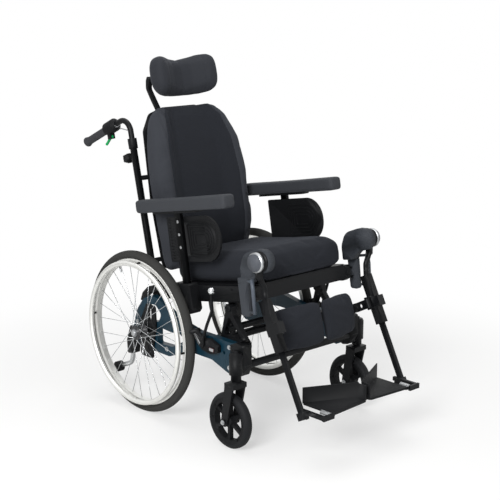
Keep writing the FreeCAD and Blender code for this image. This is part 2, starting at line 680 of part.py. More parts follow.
def back_shell():
    """Thin curved board behind the back cushion."""
    outline = [(-192, 70), (192, 70), (200, 330), (184, 590), (146, 652), (80, 672), (-80, 672), (-146, 652),
               (-184, 590), (-200, 330)]
    corners = [(Vector(x, -14, z), 30) for x, z in outline]
    face = Part.Face(Part.Wire(rounded_edges(corners, True)))
    board = face.extrude(Vector(0, 4, 0))
    board = board.cut(block(RECLINE_SPRING_X - 24, RECLINE_SPRING_X + 24, -15, -9, 60, 112))
    tube = bar(Vector(-POST_X, 0, CROSS_HEIGHTS[1]), Vector(POST_X, 0, CROSS_HEIGHTS[1]), CROSS_RADIUS)
    hangers = [block(side * 150, side * 190, -10, -6, 412, 428).cut(tube) for _, side in SIDES]
    return back_place(group([board] + hangers))


def back_cushion():
    """Back cushion: narrow shoulders, deep side wings and a hollow front."""
    rear = -15.0
    sections = [
        shell_section(60, 194, rear, -66, -56),
        shell_section(78, 206, rear, -84, -72),
        shell_section(140, 216, rear, -100, -80),
        shell_section(172, 218, rear, -120, -84),
        shell_section(240, 221, rear, -128, -88),
        shell_section(400, 222, rear, -134, -86),
        shell_section(530, 210, rear, -126, -80),
        shell_section(618, 184, rear, -104, -72),
        shell_section(662, 148, rear, -84, -64),
        shell_section(680, 108, rear, -62, -54),
    ]
    return back_place(Part.makeLoft(sections, True, False))


def headrest_bar():
    """Straight shank and cranked upper part that carry the headrest, with its ball and cross pin."""
    x0 = HEADREST_X - 6
    x1 = HEADREST_X + 6
    ball_y, ball_z = HEADREST_BALL
    path = [(1, 640, 2), (13, 640, 2), (13, 650, 20), (36, 700, 24), (58, 754, 30), (50, ball_z, 20),
            (40, ball_z + 12, 2), (28, ball_z + 4, 4), (44, 752, 24), (24, 706, 22), (1, 654, 20)]
    shank = block(x0, x1, 1, 13, 530, 644)
    crank = plate(path, x0 - 3, x1 + 3)
    link = block(x1, 6, ball_y + 9, ball_y + 20, ball_z - 9, ball_z + 9)
    ball = Part.makeSphere(11, Vector(0, ball_y, ball_z))
    pin = disc(-22, 22, ball_y, ball_z, HEADREST_PIN)
    return back_place(fused([shank, crank, link, ball, pin]))


def headrest_mount():
    """Socket on the back shell that the headrest bar's shank slides in."""
    shell = block(HEADREST_X - 20, HEADREST_X + 20, -10, 20, 548, 620)
    hole = block(HEADREST_X - 6 - CLEAR, HEADREST_X + 6 + CLEAR, 1 - CLEAR, 13 + CLEAR, 540, 630)
    return back_place(shell.cut(hole))


def head_section(x, front, rear, low, high):
    """Upright oval across X from a front, a rear, a lowest and a highest point."""
    middle = (low + high) / 2
    seam = (front + rear) / 2 + 6
    bottom = Vector(x, seam, low)
    top = Vector(x, seam, high)
    return Part.Wire([
        Part.Arc(bottom, Vector(x, front, middle), top).toShape(),
        Part.Arc(top, Vector(x, rear, middle), bottom).toShape(),
    ])


def headrest_pad():
    """Winged head cushion, and the cup on its back that turns on the ball."""
    ball_y, ball_z = HEADREST_BALL
    half = [
        (142, -104, -58, 752, 822), (132, -122, -46, 730, 844), (116, -128, -36, 714, 854),
        (84, -104, -22, 707, 859), (44, -74, -8, 705, 852),
    ]
    mirrored = [(-x, front, rear, low, high) for x, front, rear, low, high in half]
    stations = mirrored + [(0, -62, 0, 705, 846)] + half[::-1]
    pad = Part.makeLoft([head_section(*station) for station in stations], True, False)
    cup = bar(Vector(0, -30, ball_z), Vector(0, ball_y + 3, ball_z), 18)
    cup = cup.cut(Part.makeSphere(11 + RUNNING, Vector(0, ball_y, ball_z))).cut(pad)
    cup = cup.cut(disc(-20, 20, ball_y, ball_z, HEADREST_PIN + RUNNING))
    return back_place(group([pad, cup]))


def push_tube(side):
    """Height-adjustable push handle tube, bent to the rear."""
    x = side * POST_X
    points = [Vector(x, 0, 380), Vector(x, 0, HANDLE_BEND[1]), Vector(x, *HANDLE_END)]
    return back_place(bent_tube(points, HANDLE_RADIUS, 2, 46))


def handle_run(side, distance):
    """Point on the straight rear run, measured back from its end."""
    bend = Vector(side * POST_X, 0, HANDLE_BEND[1])
    end = Vector(side * POST_X, *HANDLE_END)
    return end + (bend - end).normalize() * distance


def lever_root(side):
    """Middle of the release lever's pin, under its housing."""
    return handle_run(side, 158) - Z_AXIS * 34


def push_grip(side):
    """Moulded grip with a flared end, and the lever's housing with its pin and its cable."""
    end = handle_run(side, -7)
    start = handle_run(side, 140)
    run = (start - end).normalize()
    core = bar(end + run * 7, start + run * 86, HANDLE_RADIUS)
    body = bar(end + run * 10, start, 15)
    flare = Part.makeCone(19, 15, 18, end + run * 3, run)
    grip = fused([body, flare]).cut(core)
    drum = bar(start + run * 3, start + run * 54, 25)
    nose = Part.makeCone(25, 15, 14, start + run * 54, run)
    root = lever_root(side)
    shoulder = block(root.x - 11, root.x + 11, root.y - 9, root.y + 9, root.z - 8, root.z + 22)
    slot = block(root.x - 6, root.x + 6, root.y - 20, root.y + 60, root.z - 12, root.z + 9)
    pin = bar(root - X_AXIS * 11, root + X_AXIS * 11, 3)
    housing = fused([drum, nose, shoulder]).cut(slot).cut(core)
    mouth = start + run * 40 - Z_AXIS * 20
    cable = bent_bar([mouth, mouth + run * 48 - Z_AXIS * 6, Vector(root.x, HANDLE_RADIUS + 1, 600)], 2, 22)
    return back_place(group([grip, fused([housing, pin]), cable.cut(housing)]))


def release_lever(side):
    """Trigger under the grip that releases the tilt or the recline."""
    root = lever_root(side)
    run = (handle_run(side, 0) - handle_run(side, 100)).normalize()
    tip = root + run * 36 - Z_AXIS * 16
    boss = bar(root - X_AXIS * 5.5, root + X_AXIS * 5.5, 6.5)
    blade = bar(root, tip, 5)
    end = Part.makeSphere(5.5, tip)
    lever = fused([boss, blade, end])
    return back_place(lever.cut(bar(root - X_AXIS * 12, root + X_AXIS * 12, 3 + RUNNING)))


def clamp_knob(side):
    """Star knob whose stud clamps the push handle tube."""
    x = side * POST_X
    stud = bar(Vector(x, 11.5, KNOB_Z), Vector(x, 34, KNOB_Z), 4)
    parts = [stud, bar(Vector(x, 32, KNOB_Z), Vector(x, 52, KNOB_Z), 16)]
    for index in range(5):
        turn = 2 * math.pi * index / 5
        foot = Vector(x + 13 * math.cos(turn), 33, KNOB_Z + 13 * math.sin(turn))
        parts.append(bar(foot, foot + Vector(0, 18, 0), 6))
    return back_place(fused(parts))


def arm_post(side):
    """Flat armrest post with its foot plate under the pad."""
    x0 = side * ARM_POST_X[0]
    x1 = side * ARM_POST_X[1]
    post = block(x0, x1, ARM_POST_Y[0], ARM_POST_Y[1], -22, ARM_BOTTOM - 6)
    foot = block(side * 246, side * 280, 60, 300, ARM_BOTTOM - 6, ARM_BOTTOM)
    return seat_place(fused([post, foot]))


def side_panel(side):
    """D-shaped clothing guard with a raised border and a ribbed rear strip."""
    x0 = side * 248
    x1 = side * 256
    face = side * 254.5
    body = plate([(-26, 312, 78), (-26, 150, 78), (256, 150, 6), (256, 312, 6)], x0, x1)
    groove = plate([(-8, 292, 58), (-8, 170, 58), (150, 170, 10), (150, 292, 10)], face, x1)
    island = plate([(-2, 286, 52), (-2, 176, 52), (144, 176, 6), (144, 286, 6)], face, x1)
    slots = [block(face, x1, 232, 248, 158 + 11 * index, 163 + 11 * index) for index in range(14)]
    return seat_place(body.cut(groove.cut(island)).cut(group(slots)))


def pad_section(x, y, half, low, high):
    """Arm pad section across Y: flat below, arched sides and top."""
    foot = half * 0.86
    shoulder = half * 0.78
    middle = (low + high) / 2
    foot_left = Vector(x - foot, y, low)
    foot_right = Vector(x + foot, y, low)
    top_left = Vector(x - shoulder, y, high - 3)
    top_right = Vector(x + shoulder, y, high - 3)
    return Part.Wire([
        Part.LineSegment(foot_left, foot_right).toShape(),
        Part.Arc(foot_right, Vector(x + half, y, middle), top_right).toShape(),
        Part.Arc(top_right, Vector(x, y, high), top_left).toShape(),
        Part.Arc(top_left, Vector(x - half, y, middle), foot_left).toShape(),
    ])


def arm_pad(side):
    """Long soft armrest pad with rounded ends."""
    x = side * 263.0
    low = ARM_BOTTOM
    high = ARM_BOTTOM + 49
    sections = [
        pad_section(x, -106, 20, low + 8, high - 9), pad_section(x, -98, 26, low + 3, high - 3),
        pad_section(x, -80, 29, low, high), pad_section(x, 370, 29, low, high),
        pad_section(x, 386, 26, low + 3, high - 3), pad_section(x, 392, 20, low + 8, high - 9),
    ]
    return seat_place(Part.makeLoft(sections, True, True))


def leg_hanger(side):
    """Swing-away hook: a post with its pivot sleeve, an arch over to the knee, and the knee pin."""
    x0 = side * 238
    x1 = side * 263
    knee_y, knee_z = knee_seat()
    arch = plate([(-162, 78, 10), (-200, 108, 14), (knee_y, knee_z - 40, 18), (knee_y - 34, knee_z - 34, 30),
                  (knee_y - 34, knee_z + 34, 30), (knee_y + 20, knee_z + 40, 30), (-142, 178, 50), (-118, 130, 50),
                  (-118, 78, 6)], x0, x1)
    post = plate([(-118, 80, 4), (-118, -30, 10), (-156, -34, 10), (-162, 80, 4)], side * 263, side * 280)
    neck = plate([(-118, 100, 4), (-118, 78, 4), (-162, 78, 4), (-162, 96, 4)], side * 250, side * 280)
    sleeve = bar(Vector(side * SWING_X, SWING_Y, 18.4), Vector(side * SWING_X, SWING_Y, 43.6), 11)
    arm = block(side * SWING_X, side * 266, SWING_Y - 11, SWING_Y + 11, 19, 43)
    bore = bar(Vector(side * SWING_X, SWING_Y, 0), Vector(side * SWING_X, SWING_Y, 60), 6 + RUNNING)
    hub = disc(side * 235, side * 264, knee_y, knee_z, 38)
    pin = disc(side * 235, side * 292, knee_y, knee_z, 10)
    line = [Vector(side * 286, -196, 96), Vector(side * 288, -198, 60), Vector(side * 286, -192, -22)]
    strut = bent_bar(line, 6.5, 60)
    ties = [bar(Vector(side * 272, -150, height), Vector(side * 286, -194, height), 5) for height in (-18, 88)]
    whole = fused([arch, post, neck, sleeve, arm, hub, pin, strut] + ties)
    return seat_place(whole.cut(bore))


def knee_seat():
    """Knee joint in seat coordinates."""
    lean = math.radians(SEAT_TILT)
    y = KNEE[0] - SEAT_ORIGIN.y
    z = KNEE[1] - SEAT_ORIGIN.z
    return (y * math.cos(lean) - z * math.sin(lean), y * math.sin(lean) + z * math.cos(lean))


def leg_upper(side):
    """Knee drum with its neck, upper tube, sleeve, and the calf pad's clamp and pin."""
    knee_y, knee_z = KNEE
    x = side * LEG_X
    ring = disc(side * 265, side * 270, knee_y, knee_z, 35)
    drum = disc(side * 270, side * 282, knee_y, knee_z, 32)
    rim = disc(side * 282, side * 291, knee_y, knee_z, 34)
    cap = disc(side * 291, side * 299, knee_y, knee_z, 29)
    bore = disc(side * 260, side * 292.5, knee_y, knee_z, 10 + RUNNING)
    neck = plate([(knee_y - 12, knee_z, 3), (knee_y - 12, knee_z - 62, 8), (knee_y + 10, knee_z - 62, 8),
                  (knee_y + 10, knee_z, 3)], side * 266, side * 280)
    tube = bent_bar([Vector(side * 272, knee_y - 2, knee_z - 52), Vector(x, knee_y - 5, knee_z - 92),
                     Vector(x, SHIN_BEND[0], SHIN_BEND[1] + 6)], 10, 24)
    sleeve = shin_place(block(x - 13, x + 13, -18, 18, -176, 6))
    hollow = shin_place(block(x - 8.8, x + 8.8, -12.8, 12.8, -190, -30))
    clamp = shin_place(block(side * 235, side * 265, -36, 24, -116, -78))
    lugs = []
    for low in (-118.0, -78.0):
        lug = block(side * CALF_PIN_X, side * 240, CALF_PIN_Y - 9, CALF_PIN_Y + 9, low, low + 6)
        eye = bar(Vector(side * CALF_PIN_X, CALF_PIN_Y, low), Vector(side * CALF_PIN_X, CALF_PIN_Y, low + 6), 9)
        lugs += [shin_place(lug), shin_place(eye)]
    pin = bar(Vector(side * CALF_PIN_X, CALF_PIN_Y, -118), Vector(side * CALF_PIN_X, CALF_PIN_Y, -72), 5)
    whole = fused([ring, drum, cap, rim, neck, tube, sleeve, clamp, shin_place(pin)] + lugs)
    return whole.cut(hollow).cut(bore)


def foot_tube(side):
    """Sliding lower tube with the forward arm that the footplate turns on."""
    x = side * LEG_X
    low = -FOOT_TUBE_LENGTH
    hinge_z = FOOT_PLATE_Z - FOOT_HINGE_DROP
    tube = block(x - 8, x + 8, -12, 12, low, FOOT_TUBE_TOP)
    tube = tapered_edges(tube, 6, lambda edge: edge.Length > 200)
    foot = block(x - 11, x + 11, -15, 15, low - 4, low + 22)
    lower = shin_place(fused([tube, foot]))
    arm = block(side * 230, side * 242, -606, -500, hinge_z - 7, hinge_z + 7)
    web = block(side * 232, side * 246, -536, -506, 172, hinge_z)
    pin = bar(Vector(side * FOOT_HINGE_X, -606, hinge_z), Vector(side * FOOT_HINGE_X, -558, hinge_z), 5)
    ear = block(side * 192, side * 242, -612, -604, hinge_z - 9, hinge_z + 9)
    return fused([lower, arm, web, ear, pin])


def footplate(side):
    """Folding footplate with its hinge barrel and the heel guard."""
    near = side * 188
    far = side * 8
    z = FOOT_PLATE_Z
    hinge_z = z - FOOT_HINGE_DROP
    board = slab([(near, -603, 14), (far, -590, 12), (far, -548, 6), (near, -458, 6)], z - 8, z)
    barrel = bar(Vector(side * FOOT_HINGE_X, -603, hinge_z), Vector(side * FOOT_HINGE_X, -562, hinge_z), 10)
    bridge = block(side * FOOT_HINGE_X, side * 180, -603, -562, z - 10, z - 0.5)
    hinge_x = side * FOOT_HINGE_X
    hole = bar(Vector(hinge_x, -610, hinge_z), Vector(hinge_x, -550, hinge_z), 5 + RUNNING)
    guard = slab([(near, -459, 1), (near, -463, 1), (far, -552, 1), (far, -548, 1)], z - 4, z + 52)
    wing = slab([(far, -549, 1), (side * 12, -549, 1), (side * 12, -586, 1), (far, -586, 1)], z - 4, z + 48)
    return fused([board, barrel, bridge, guard, wing]).cut(hole)


def calf_section(x, middle, half, reach):
    """Calf pad section across X: bulging front, flatter rear."""
    low = Vector(x, middle + 6, -reach)
    high = Vector(x, middle + 6, reach)
    return Part.Wire([
        Part.Arc(low, Vector(x, middle - half, 0), high).toShape(),
        Part.Arc(high, Vector(x, middle + 6 + half * 0.5, 0), low).toShape(),
    ])


def calf_pad(side):
    """Calf cushion, splayed outwards, with the strap and the eye that it swings on."""
    inner = 6.0
    slope = math.tan(math.radians(CALF_SPLAY))
    sections = [calf_section(side * x, (x - inner) * slope, half, reach) for x, half, reach in (
        (inner, 8, 62), (inner + 10, 18, 70), (100, 24, 74), (174, 20, 72), (190, 12, 60), (196, 6, 46))]
    pad = Part.makeLoft(sections, True, False)
    pad.rotate(ZERO, X_AXIS, -CALF_LEAN)
    pad.translate(Vector(0, *CALF_CENTRE))
    x = side * CALF_PIN_X
    eye = bar(Vector(x, CALF_PIN_Y, -111.5), Vector(x, CALF_PIN_Y, -78.5), 11)
    strap = block(x - 3, x + 3, CALF_PIN_Y, 66, -111.5, -78.5)
    window = bar(Vector(x - 10, 40, -95), Vector(x + 10, 40, -95), 7)
    tab = block(x + side * 3, side * 178, 58, 64, -111.5, -78.5)
    bore = bar(Vector(x, CALF_PIN_Y, -130), Vector(x, CALF_PIN_Y, -60), 5 + RUNNING)
    bracket = shin_place(fused([eye, strap, tab]).cut(bore).cut(window))
    return group([pad, bracket.cut(pad)])


def spring_line():
    """Tilt spring's foot and head in the chair's own frame."""
    head = seat_point(*SPRING_HEAD)
    return Vector(SPRING_X, *SPRING_FOOT), Vector(SPRING_X, head.y, head.z)


def spring_cylinder(foot, head, reach):
    """Gas spring body with its foot eye."""
    run = (head - foot).normalize()
    cross = X_AXIS * 9
    body = bar(foot + run * 4, foot + run * reach, 12)
    eye = bar(foot - cross, foot + cross, 9)
    bore = bar(foot + run * 20, foot + run * reach, 5 + RUNNING)
    cylinder = fused([eye, body.common(block(foot.x - 12, foot.x + 12, -900, 900, 0, 900))])
    return cylinder.cut(bar(foot - cross * 2, foot + cross * 2, 5 + RUNNING)).cut(bore)


def spring_rod(foot, head, start):
    """Polished rod with its head eye."""
    run = (head - foot).normalize()
    eye = bar(head - X_AXIS * 9, head + X_AXIS * 9, 9)
    rod = bar(foot + run * start, head - run * 6, 5)
    return fused([eye, rod])


def recline_line():
    """Recline spring's foot and head in the chair's own frame."""
    foot = seat_point(*RECLINE_FOOT)
    lean = math.radians(-BACK_LEAN)
    y, z = RECLINE_HEAD
    head = seat_point(RECLINE_PIVOT[0] + y * math.cos(lean) - z * math.sin(lean),
                      RECLINE_PIVOT[1] + y * math.sin(lean) + z * math.cos(lean))
    return Vector(RECLINE_SPRING_X, foot.y, foot.z), Vector(RECLINE_SPRING_X, head.y, head.z)


def export(name, shape):
    """Write one node and print its box and volume."""
    shape.exportStep(os.path.join("parts", name + ".step"))
    box = shape.BoundBox
    print("%-26s x %7.1f %7.1f  y %7.1f %7.1f  z %7.1f %7.1f  solids %d  valid %s" % (
        name, box.XMin, box.XMax, box.YMin, box.YMax, box.ZMin, box.ZMax, len(shape.Solids), shape.isValid()))
    return box


AXLE_FITTINGS = (axle_bracket, tie_down, anti_tip_socket)


def model():
    """All nodes by name, with the origin under the middle of the outline."""
    tilt_foot, tilt_head = spring_line()
    recline_foot, recline_head = recline_line()
    nodes = {
        "cross_frame": cross_frame(),
        "tilt_towers": tower_set(),
        "axle_brackets": group([make(side) for make in AXLE_FITTINGS for _, side in SIDES]),
        "wheel_axles": wheel_axles(),
        "caster_housings": group([caster_housing(side) for _, side in SIDES]),
        "brake_mounts": group([brake_mount(side) for _, side in SIDES]),
        "tilt_spring_cylinder": spring_cylinder(tilt_foot, tilt_head, 128),
        "tilt_spring_rod": spring_rod(tilt_foot, tilt_head, 62),
        "seat_frame": seat_frame(),
        "seat_cushion": seat_cushion(),
        "arm_sockets": group([arm_socket(side) for _, side in SIDES]),
        "back_frame": back_frame(),
        "back_shell": group([back_shell(), headrest_mount()]),
        "back_cushion": back_cushion(),
        "recline_spring_cylinder": spring_cylinder(recline_foot, recline_head, 150),
        "recline_spring_rod": spring_rod(recline_foot, recline_head, 70),
        "headrest_bar": headrest_bar(),
        "headrest_pad": headrest_pad(),
    }
    pairs = {
        "side_frame": side_frame, "push_tube": push_tube, "push_grip": push_grip,
        "release_lever": release_lever, "clamp_knob": clamp_knob, "arm_post": arm_post,
        "side_panel": side_panel, "arm_pad": arm_pad, "rear_tyre": rear_tyre, "rear_rim": rear_rim,
        "wheel_spokes": wheel_spokes, "handrim": handrim, "caster_fork": caster_fork,
        "caster_wheel": caster_wheel, "brake_lever": brake_lever, "anti_tipper": anti_tipper,
        "leg_hanger": leg_hanger, "leg_upper": leg_upper, "foot_tube": foot_tube,
        "footplate": footplate, "calf_pad": calf_pad,
    }
    for name, make in pairs.items():
        for label, side in SIDES:
            nodes[name + "_" + label] = make(side)
    for shape in nodes.values():
        shape.translate(Vector(0, -OUTLINE_CENTRE_Y, 0))
    return nodes


def main():
    """Build and write every node."""
    os.makedirs("parts", exist_ok=True)
    whole = FreeCAD.BoundBox()
    for name, shape in model().items():
        whole.add(export(name, shape))
    print("whole x %.1f %.1f y %.1f %.1f z %.1f %.1f" % (
        whole.XMin, whole.XMax, whole.YMin, whole.YMax, whole.ZMin, whole.ZMax))


main()
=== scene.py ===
"""Looks of a tilt-in-space wheelchair: upholstery, finishes, small hardware and the studio."""

import json
import logging
import math
from dataclasses import dataclass
from enum import Enum
from typing import Callable, Iterator, Sequence

import bmesh
import bpy
from mathutils import Matrix, Vector, noise


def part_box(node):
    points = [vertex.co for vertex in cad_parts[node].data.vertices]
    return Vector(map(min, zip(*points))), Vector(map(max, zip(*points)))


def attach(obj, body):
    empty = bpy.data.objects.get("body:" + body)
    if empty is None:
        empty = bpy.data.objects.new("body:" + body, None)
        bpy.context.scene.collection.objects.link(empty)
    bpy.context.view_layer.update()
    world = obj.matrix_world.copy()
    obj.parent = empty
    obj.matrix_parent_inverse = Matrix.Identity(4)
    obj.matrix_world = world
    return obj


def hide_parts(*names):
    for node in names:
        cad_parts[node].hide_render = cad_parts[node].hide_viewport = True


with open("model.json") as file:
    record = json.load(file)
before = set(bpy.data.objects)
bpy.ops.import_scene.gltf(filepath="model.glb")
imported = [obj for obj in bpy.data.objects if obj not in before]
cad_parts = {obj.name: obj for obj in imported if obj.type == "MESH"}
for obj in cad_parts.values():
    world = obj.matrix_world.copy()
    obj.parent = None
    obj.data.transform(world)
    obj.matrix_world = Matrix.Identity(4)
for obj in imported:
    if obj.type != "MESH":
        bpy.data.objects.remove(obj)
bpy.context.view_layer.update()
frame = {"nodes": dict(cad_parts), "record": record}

logging.basicConfig(level=logging.INFO, format="%(message)s")
LOG = logging.getLogger("wheelchair")

MM = 0.001


def sub_frame(parent: Matrix, y: float, z: float, degrees: float) -> Matrix:
    """Place a frame in its parent, moved in metres and turned about X."""
    return parent @ Matrix.Translation((0, y, z)) @ Matrix.Rotation(math.radians(degrees), 4, "X")


# Frames of the chair, in metres. Drawing coordinates are millimetres, so SCALE comes first.
SCALE = Matrix.Scale(MM, 4)
OUTLINE_CENTRE_Y = 0.03639
CHAIR = Matrix.Translation((0, -OUTLINE_CENTRE_Y, 0))
SEAT = sub_frame(CHAIR, -0.140, 0.484, -10)
BACK = sub_frame(SEAT, 0.405, 0.040, -3)
CALF = sub_frame(CHAIR, -0.374, 0.424, -13)

Node = bpy.types.Node
Socket = bpy.types.NodeSocket
Tree = bpy.types.NodeTree
Mesh = bmesh.types.BMesh
Test = Callable[[Vector], bool]


class Side(Enum):
    """The two sides of the chair, as the seated person has them."""

    RIGHT = ("right", -1)
    LEFT = ("left", 1)

    @property
    def word(self) -> str:
        """The side's name in node and body names."""
        return self.value[0]

    @property
    def sign(self) -> int:
        """The side's direction along X."""
        return self.value[1]


# Shader nodes

# Pitch in metres of the bands of a wave texture at scale 1
WAVE_PITCH = 0.314
WHITE = (1, 1, 1, 1)


def linear(hex_colour: str) -> tuple[float, float, float, float]:
    """Turn an sRGB hex colour into linear RGBA.

    Args:
        hex_colour: Colour such as "#2b2d31".

    Returns:
        Linear red, green, blue and an alpha of 1.
    """
    raw = [int(hex_colour[i : i + 2], 16) / 255 for i in (1, 3, 5)]
    low = [c / 12.92 if c <= 0.04045 else ((c + 0.055) / 1.055) ** 2.4 for c in raw]
    return (low[0], low[1], low[2], 1.0)


def add_node(
    tree: Tree, kind: str, settings: dict | None = None, values: dict | None = None,
    links: dict | None = None,
) -> Node:
    """Add one shader node with its settings, socket values and incoming links.

    Args:
        tree: Node tree that receives the node.
        kind: Blender's node type.
        settings: Properties of the node itself.
        values: Input socket to constant value.
        links: Input socket to the output socket that feeds it.

    Returns:
        The new node.
    """
    node = tree.nodes.new(kind)
    for key, value in (settings or {}).items():
        setattr(node, key, value)
    for key, value in (values or {}).items():
        node.inputs[key].default_value = value
    for key, source in (links or {}).items():
        tree.links.new(source, node.inputs[key])
    return node


def combine(tree: Tree, operation: str, first: Socket, second: Socket) -> Socket:
    """Join two values by an operation of the maths node."""
    made = add_node(tree, "ShaderNodeMath", {"operation": operation}, links={0: first, 1: second})
    return made.outputs[0]


def bands(tree: Tree, place: Socket, pitch_mm: float, values: dict) -> Socket:
    """Return the height of bands across X, pitch_mm apart, with further values of the wave."""
    made = add_node(
        tree, "ShaderNodeTexWave", {"wave_type": "BANDS", "bands_direction": "X"},
        {"Scale": WAVE_PITCH / (pitch_mm * MM), **values}, {"Vector": place},
    )
    return made.outputs["Fac"]


def blank_tree(owner: bpy.types.Material | bpy.types.World) -> Tree:
    """Return the owner's node tree with nothing in it."""
    owner.use_nodes = True
    owner.node_tree.nodes.clear()
    return owner.node_tree


# Finishes


@dataclass(frozen=True)
class Finish:
    """A surface finish: what it is made of and how its surface was made.

    The grain is the relief's size and relief its strength. The tone drifts by the share mottle,
    as often per metre as drift says.
    """

    name: str
    colour: str
    roughness: float = 0.5
    metallic: float = 0.0
    ior: float = 1.5
    grain_mm: float = 3.0
    relief: float = 0.12
    mottle: float = 0.08
    specular: float = 0.14
    drift: float = 0.5 / 0.03
    grain_detail: float = 3.0

    def material(self) -> bpy.types.Material:
        """Return the Blender material of this finish, made once."""
        found = bpy.data.materials.get(self.name)
        if found:
            return found
        made = bpy.data.materials.new(self.name)
        tree = blank_tree(made)
        values = {"Base Color": linear(self.colour), "Metallic": self.metallic}
        if not self.metallic:
            values |= {"IOR": self.ior, "Specular IOR Level": self.specular}
        shader = add_node(tree, "ShaderNodeBsdfPrincipled", values=values)
        add_node(tree, "ShaderNodeOutputMaterial", links={"Surface": shader.outputs["BSDF"]})
        place = add_node(tree, "ShaderNodeTexCoord").outputs["Object"]
        self.shade(tree, shader, place)
        bump = add_node(
            tree, "ShaderNodeBump",
            values={"Strength": self.relief, "Distance": self.grain_mm * MM * 0.5},
            links={"Height": self.height(tree, place)},
        )
        tree.links.new(bump.outputs["Normal"], shader.inputs["Normal"])
        made.diffuse_color = linear(self.colour)
        return made

    def height(self, tree: Tree, place: Socket) -> Socket:
        """Draw the surface's relief. A plain finish has a fine even grain."""
        values = {"Scale": 1 / (self.grain_mm * MM), "Detail": self.grain_detail}
        return add_node(
            tree, "ShaderNodeTexNoise", values=values, links={"Vector": place},
        ).outputs["Fac"]

    def shade(self, tree: Tree, shader: Node, place: Socket) -> None:
        """Drift colour and roughness a little over the surface.

        Args:
            tree: Node tree of the material.
            shader: Principled shader.
            place: Coordinates on the piece.
        """
        drift = add_node(
            tree, "ShaderNodeTexNoise",
            values={"Scale": self.drift, "Detail": 4.0, "Roughness": 0.6}, links={"Vector": place},
        ).outputs["Fac"]
        base = linear(self.colour)[:3]
        dark = (*(c * (1 - self.mottle) for c in base), 1.0)
        pale = (*(min(1.0, c * (1 + self.mottle) + 0.004 * self.mottle) for c in base), 1.0)
        tone = add_node(
            tree, "ShaderNodeMix", {"data_type": "RGBA"}, {6: dark, 7: pale}, {0: drift},
        )
        tree.links.new(tone.outputs[2], shader.inputs["Base Color"])
        gloss = add_node(
            tree, "ShaderNodeMapRange",
            values={"To Min": self.roughness - 0.05, "To Max": min(1.0, self.roughness + 0.07)},
            links={"Value": drift},
        )
        tree.links.new(gloss.outputs["Result"], shader.inputs["Roughness"])


@dataclass(frozen=True)
class WovenCloth(Finish):
    """Woven polyester upholstery: crossing threads with a soft sheen at grazing angles."""

    specular: float = 0.12
    drift: float = 9.0
    sheen: float = 0.10
    sheen_tint: str = "#8a8f9a"
    thread_turns: tuple[tuple[float, float, float], ...] = (
        (0.0, 0.0, 0.8), (0.0, 0.8, -0.8), (0.8, 0.0, 1.6),
    )

    def shade(self, tree: Tree, shader: Node, place: Socket) -> None:
        """Add the sheen of loose fibre ends to the drift."""
        super().shade(tree, shader, place)
        shader.inputs["Sheen Weight"].default_value = self.sheen
        shader.inputs["Sheen Roughness"].default_value = 0.5
        shader.inputs["Sheen Tint"].default_value = linear(self.sheen_tint)

    def height(self, tree: Tree, place: Socket) -> Socket:
        """Cross families of threads. A real thread is 0.8 mm; it is drawn coarser, to show."""
        soft = {"Distortion": 0.6, "Detail": 1.0, "Detail Scale": 0.5}
        total = None
        for turn in self.thread_turns:
            way = add_node(
                tree, "ShaderNodeMapping", values={"Rotation": turn}, links={"Vector": place},
            ).outputs["Vector"]
            threads = bands(tree, way, self.grain_mm, soft)
            total = threads if total is None else combine(tree, "ADD", total, threads)
        return total


@dataclass(frozen=True)
class GrainedSkin(Finish):
    """Moulded polyurethane skin over foam, with a fine leather-like grain of closed cells."""

    drift: float = 14.0

    def height(self, tree: Tree, place: Socket) -> Socket:
        """Raise pebbles between fine creases."""
        values = {"Scale": 1 / (self.grain_mm * MM), "Randomness": 0.9}
        return add_node(
            tree, "ShaderNodeTexVoronoi", {"feature": "F1"}, values, {"Vector": place},
        ).outputs["Distance"]


@dataclass(frozen=True)
class MouldedNylon(Finish):
    """Injection-moulded glass-filled nylon: matt, with the texture of a spark-eroded mould."""

    ior: float = 1.53
    grain_mm: float = 2.0
    relief: float = 0.08
    mottle: float = 0.05


@dataclass(frozen=True)
class BrushedMetal(Finish):
    """Bare metal, drawn, turned or cast, whose grain breaks up its reflections."""

    metallic: float = 1.0
    drift: float = 40.0
    grain_detail: float = 2.0


@dataclass(frozen=True)
class TyreCompound(Finish):
    """Vulcanised rubber: matt, with the fine ribs of the tread running round the tyre."""

    drift: float = 22.0
    rib_mm: float = 5.0

    def height(self, tree: Tree, place: Socket) -> Socket:
        """Ribs are bands across the tyre's width, which lies along X."""
        return bands(tree, place, self.rib_mm, {"Distortion": 0.0})


# Upholstery cloth: matt, dark charcoal, with a faint cool sheen at the edges
CLOTH = WovenCloth(
    "woven_polyester_charcoal", "#222429", 0.88, grain_mm=3.2, relief=0.22, mottle=0.10,
)
# Stretch cloth on the side bolsters: the same yarn knitted, so a little paler and smoother
BOLSTER = WovenCloth(
    "knitted_polyester_grey", "#33353a", 0.84, grain_mm=2.4, relief=0.14, mottle=0.07, sheen=0.15,
)
# Coated stretch cloth on the headrest: soft, with hardly any weave
HEAD_CLOTH = WovenCloth(
    "coated_stretch_cloth", "#26282d", 0.76, grain_mm=2.2, relief=0.10, mottle=0.06, specular=0.2,
)
# Integral-skin polyurethane of the arm pads: satin, fine pebble
ARM_SKIN = GrainedSkin(
    "moulded_polyurethane_skin", "#36383c", 0.6, ior=1.48, grain_mm=2.6, relief=0.16, mottle=0.06,
)
# Powder coat: satin black with the faint orange peel of baked powder
BLACK_COAT = Finish(
    "powder_coat_satin_black", "#0f1012", 0.42, grain_mm=2.2, relief=0.07, mottle=0.12,
)
# Powder coat of the side frames: dark petrol, a little glossier than the black
PETROL_COAT = Finish(
    "powder_coat_dark_petrol", "#0b2a38", 0.34, grain_mm=2.4, relief=0.06, mottle=0.10,
    specular=0.22,
)
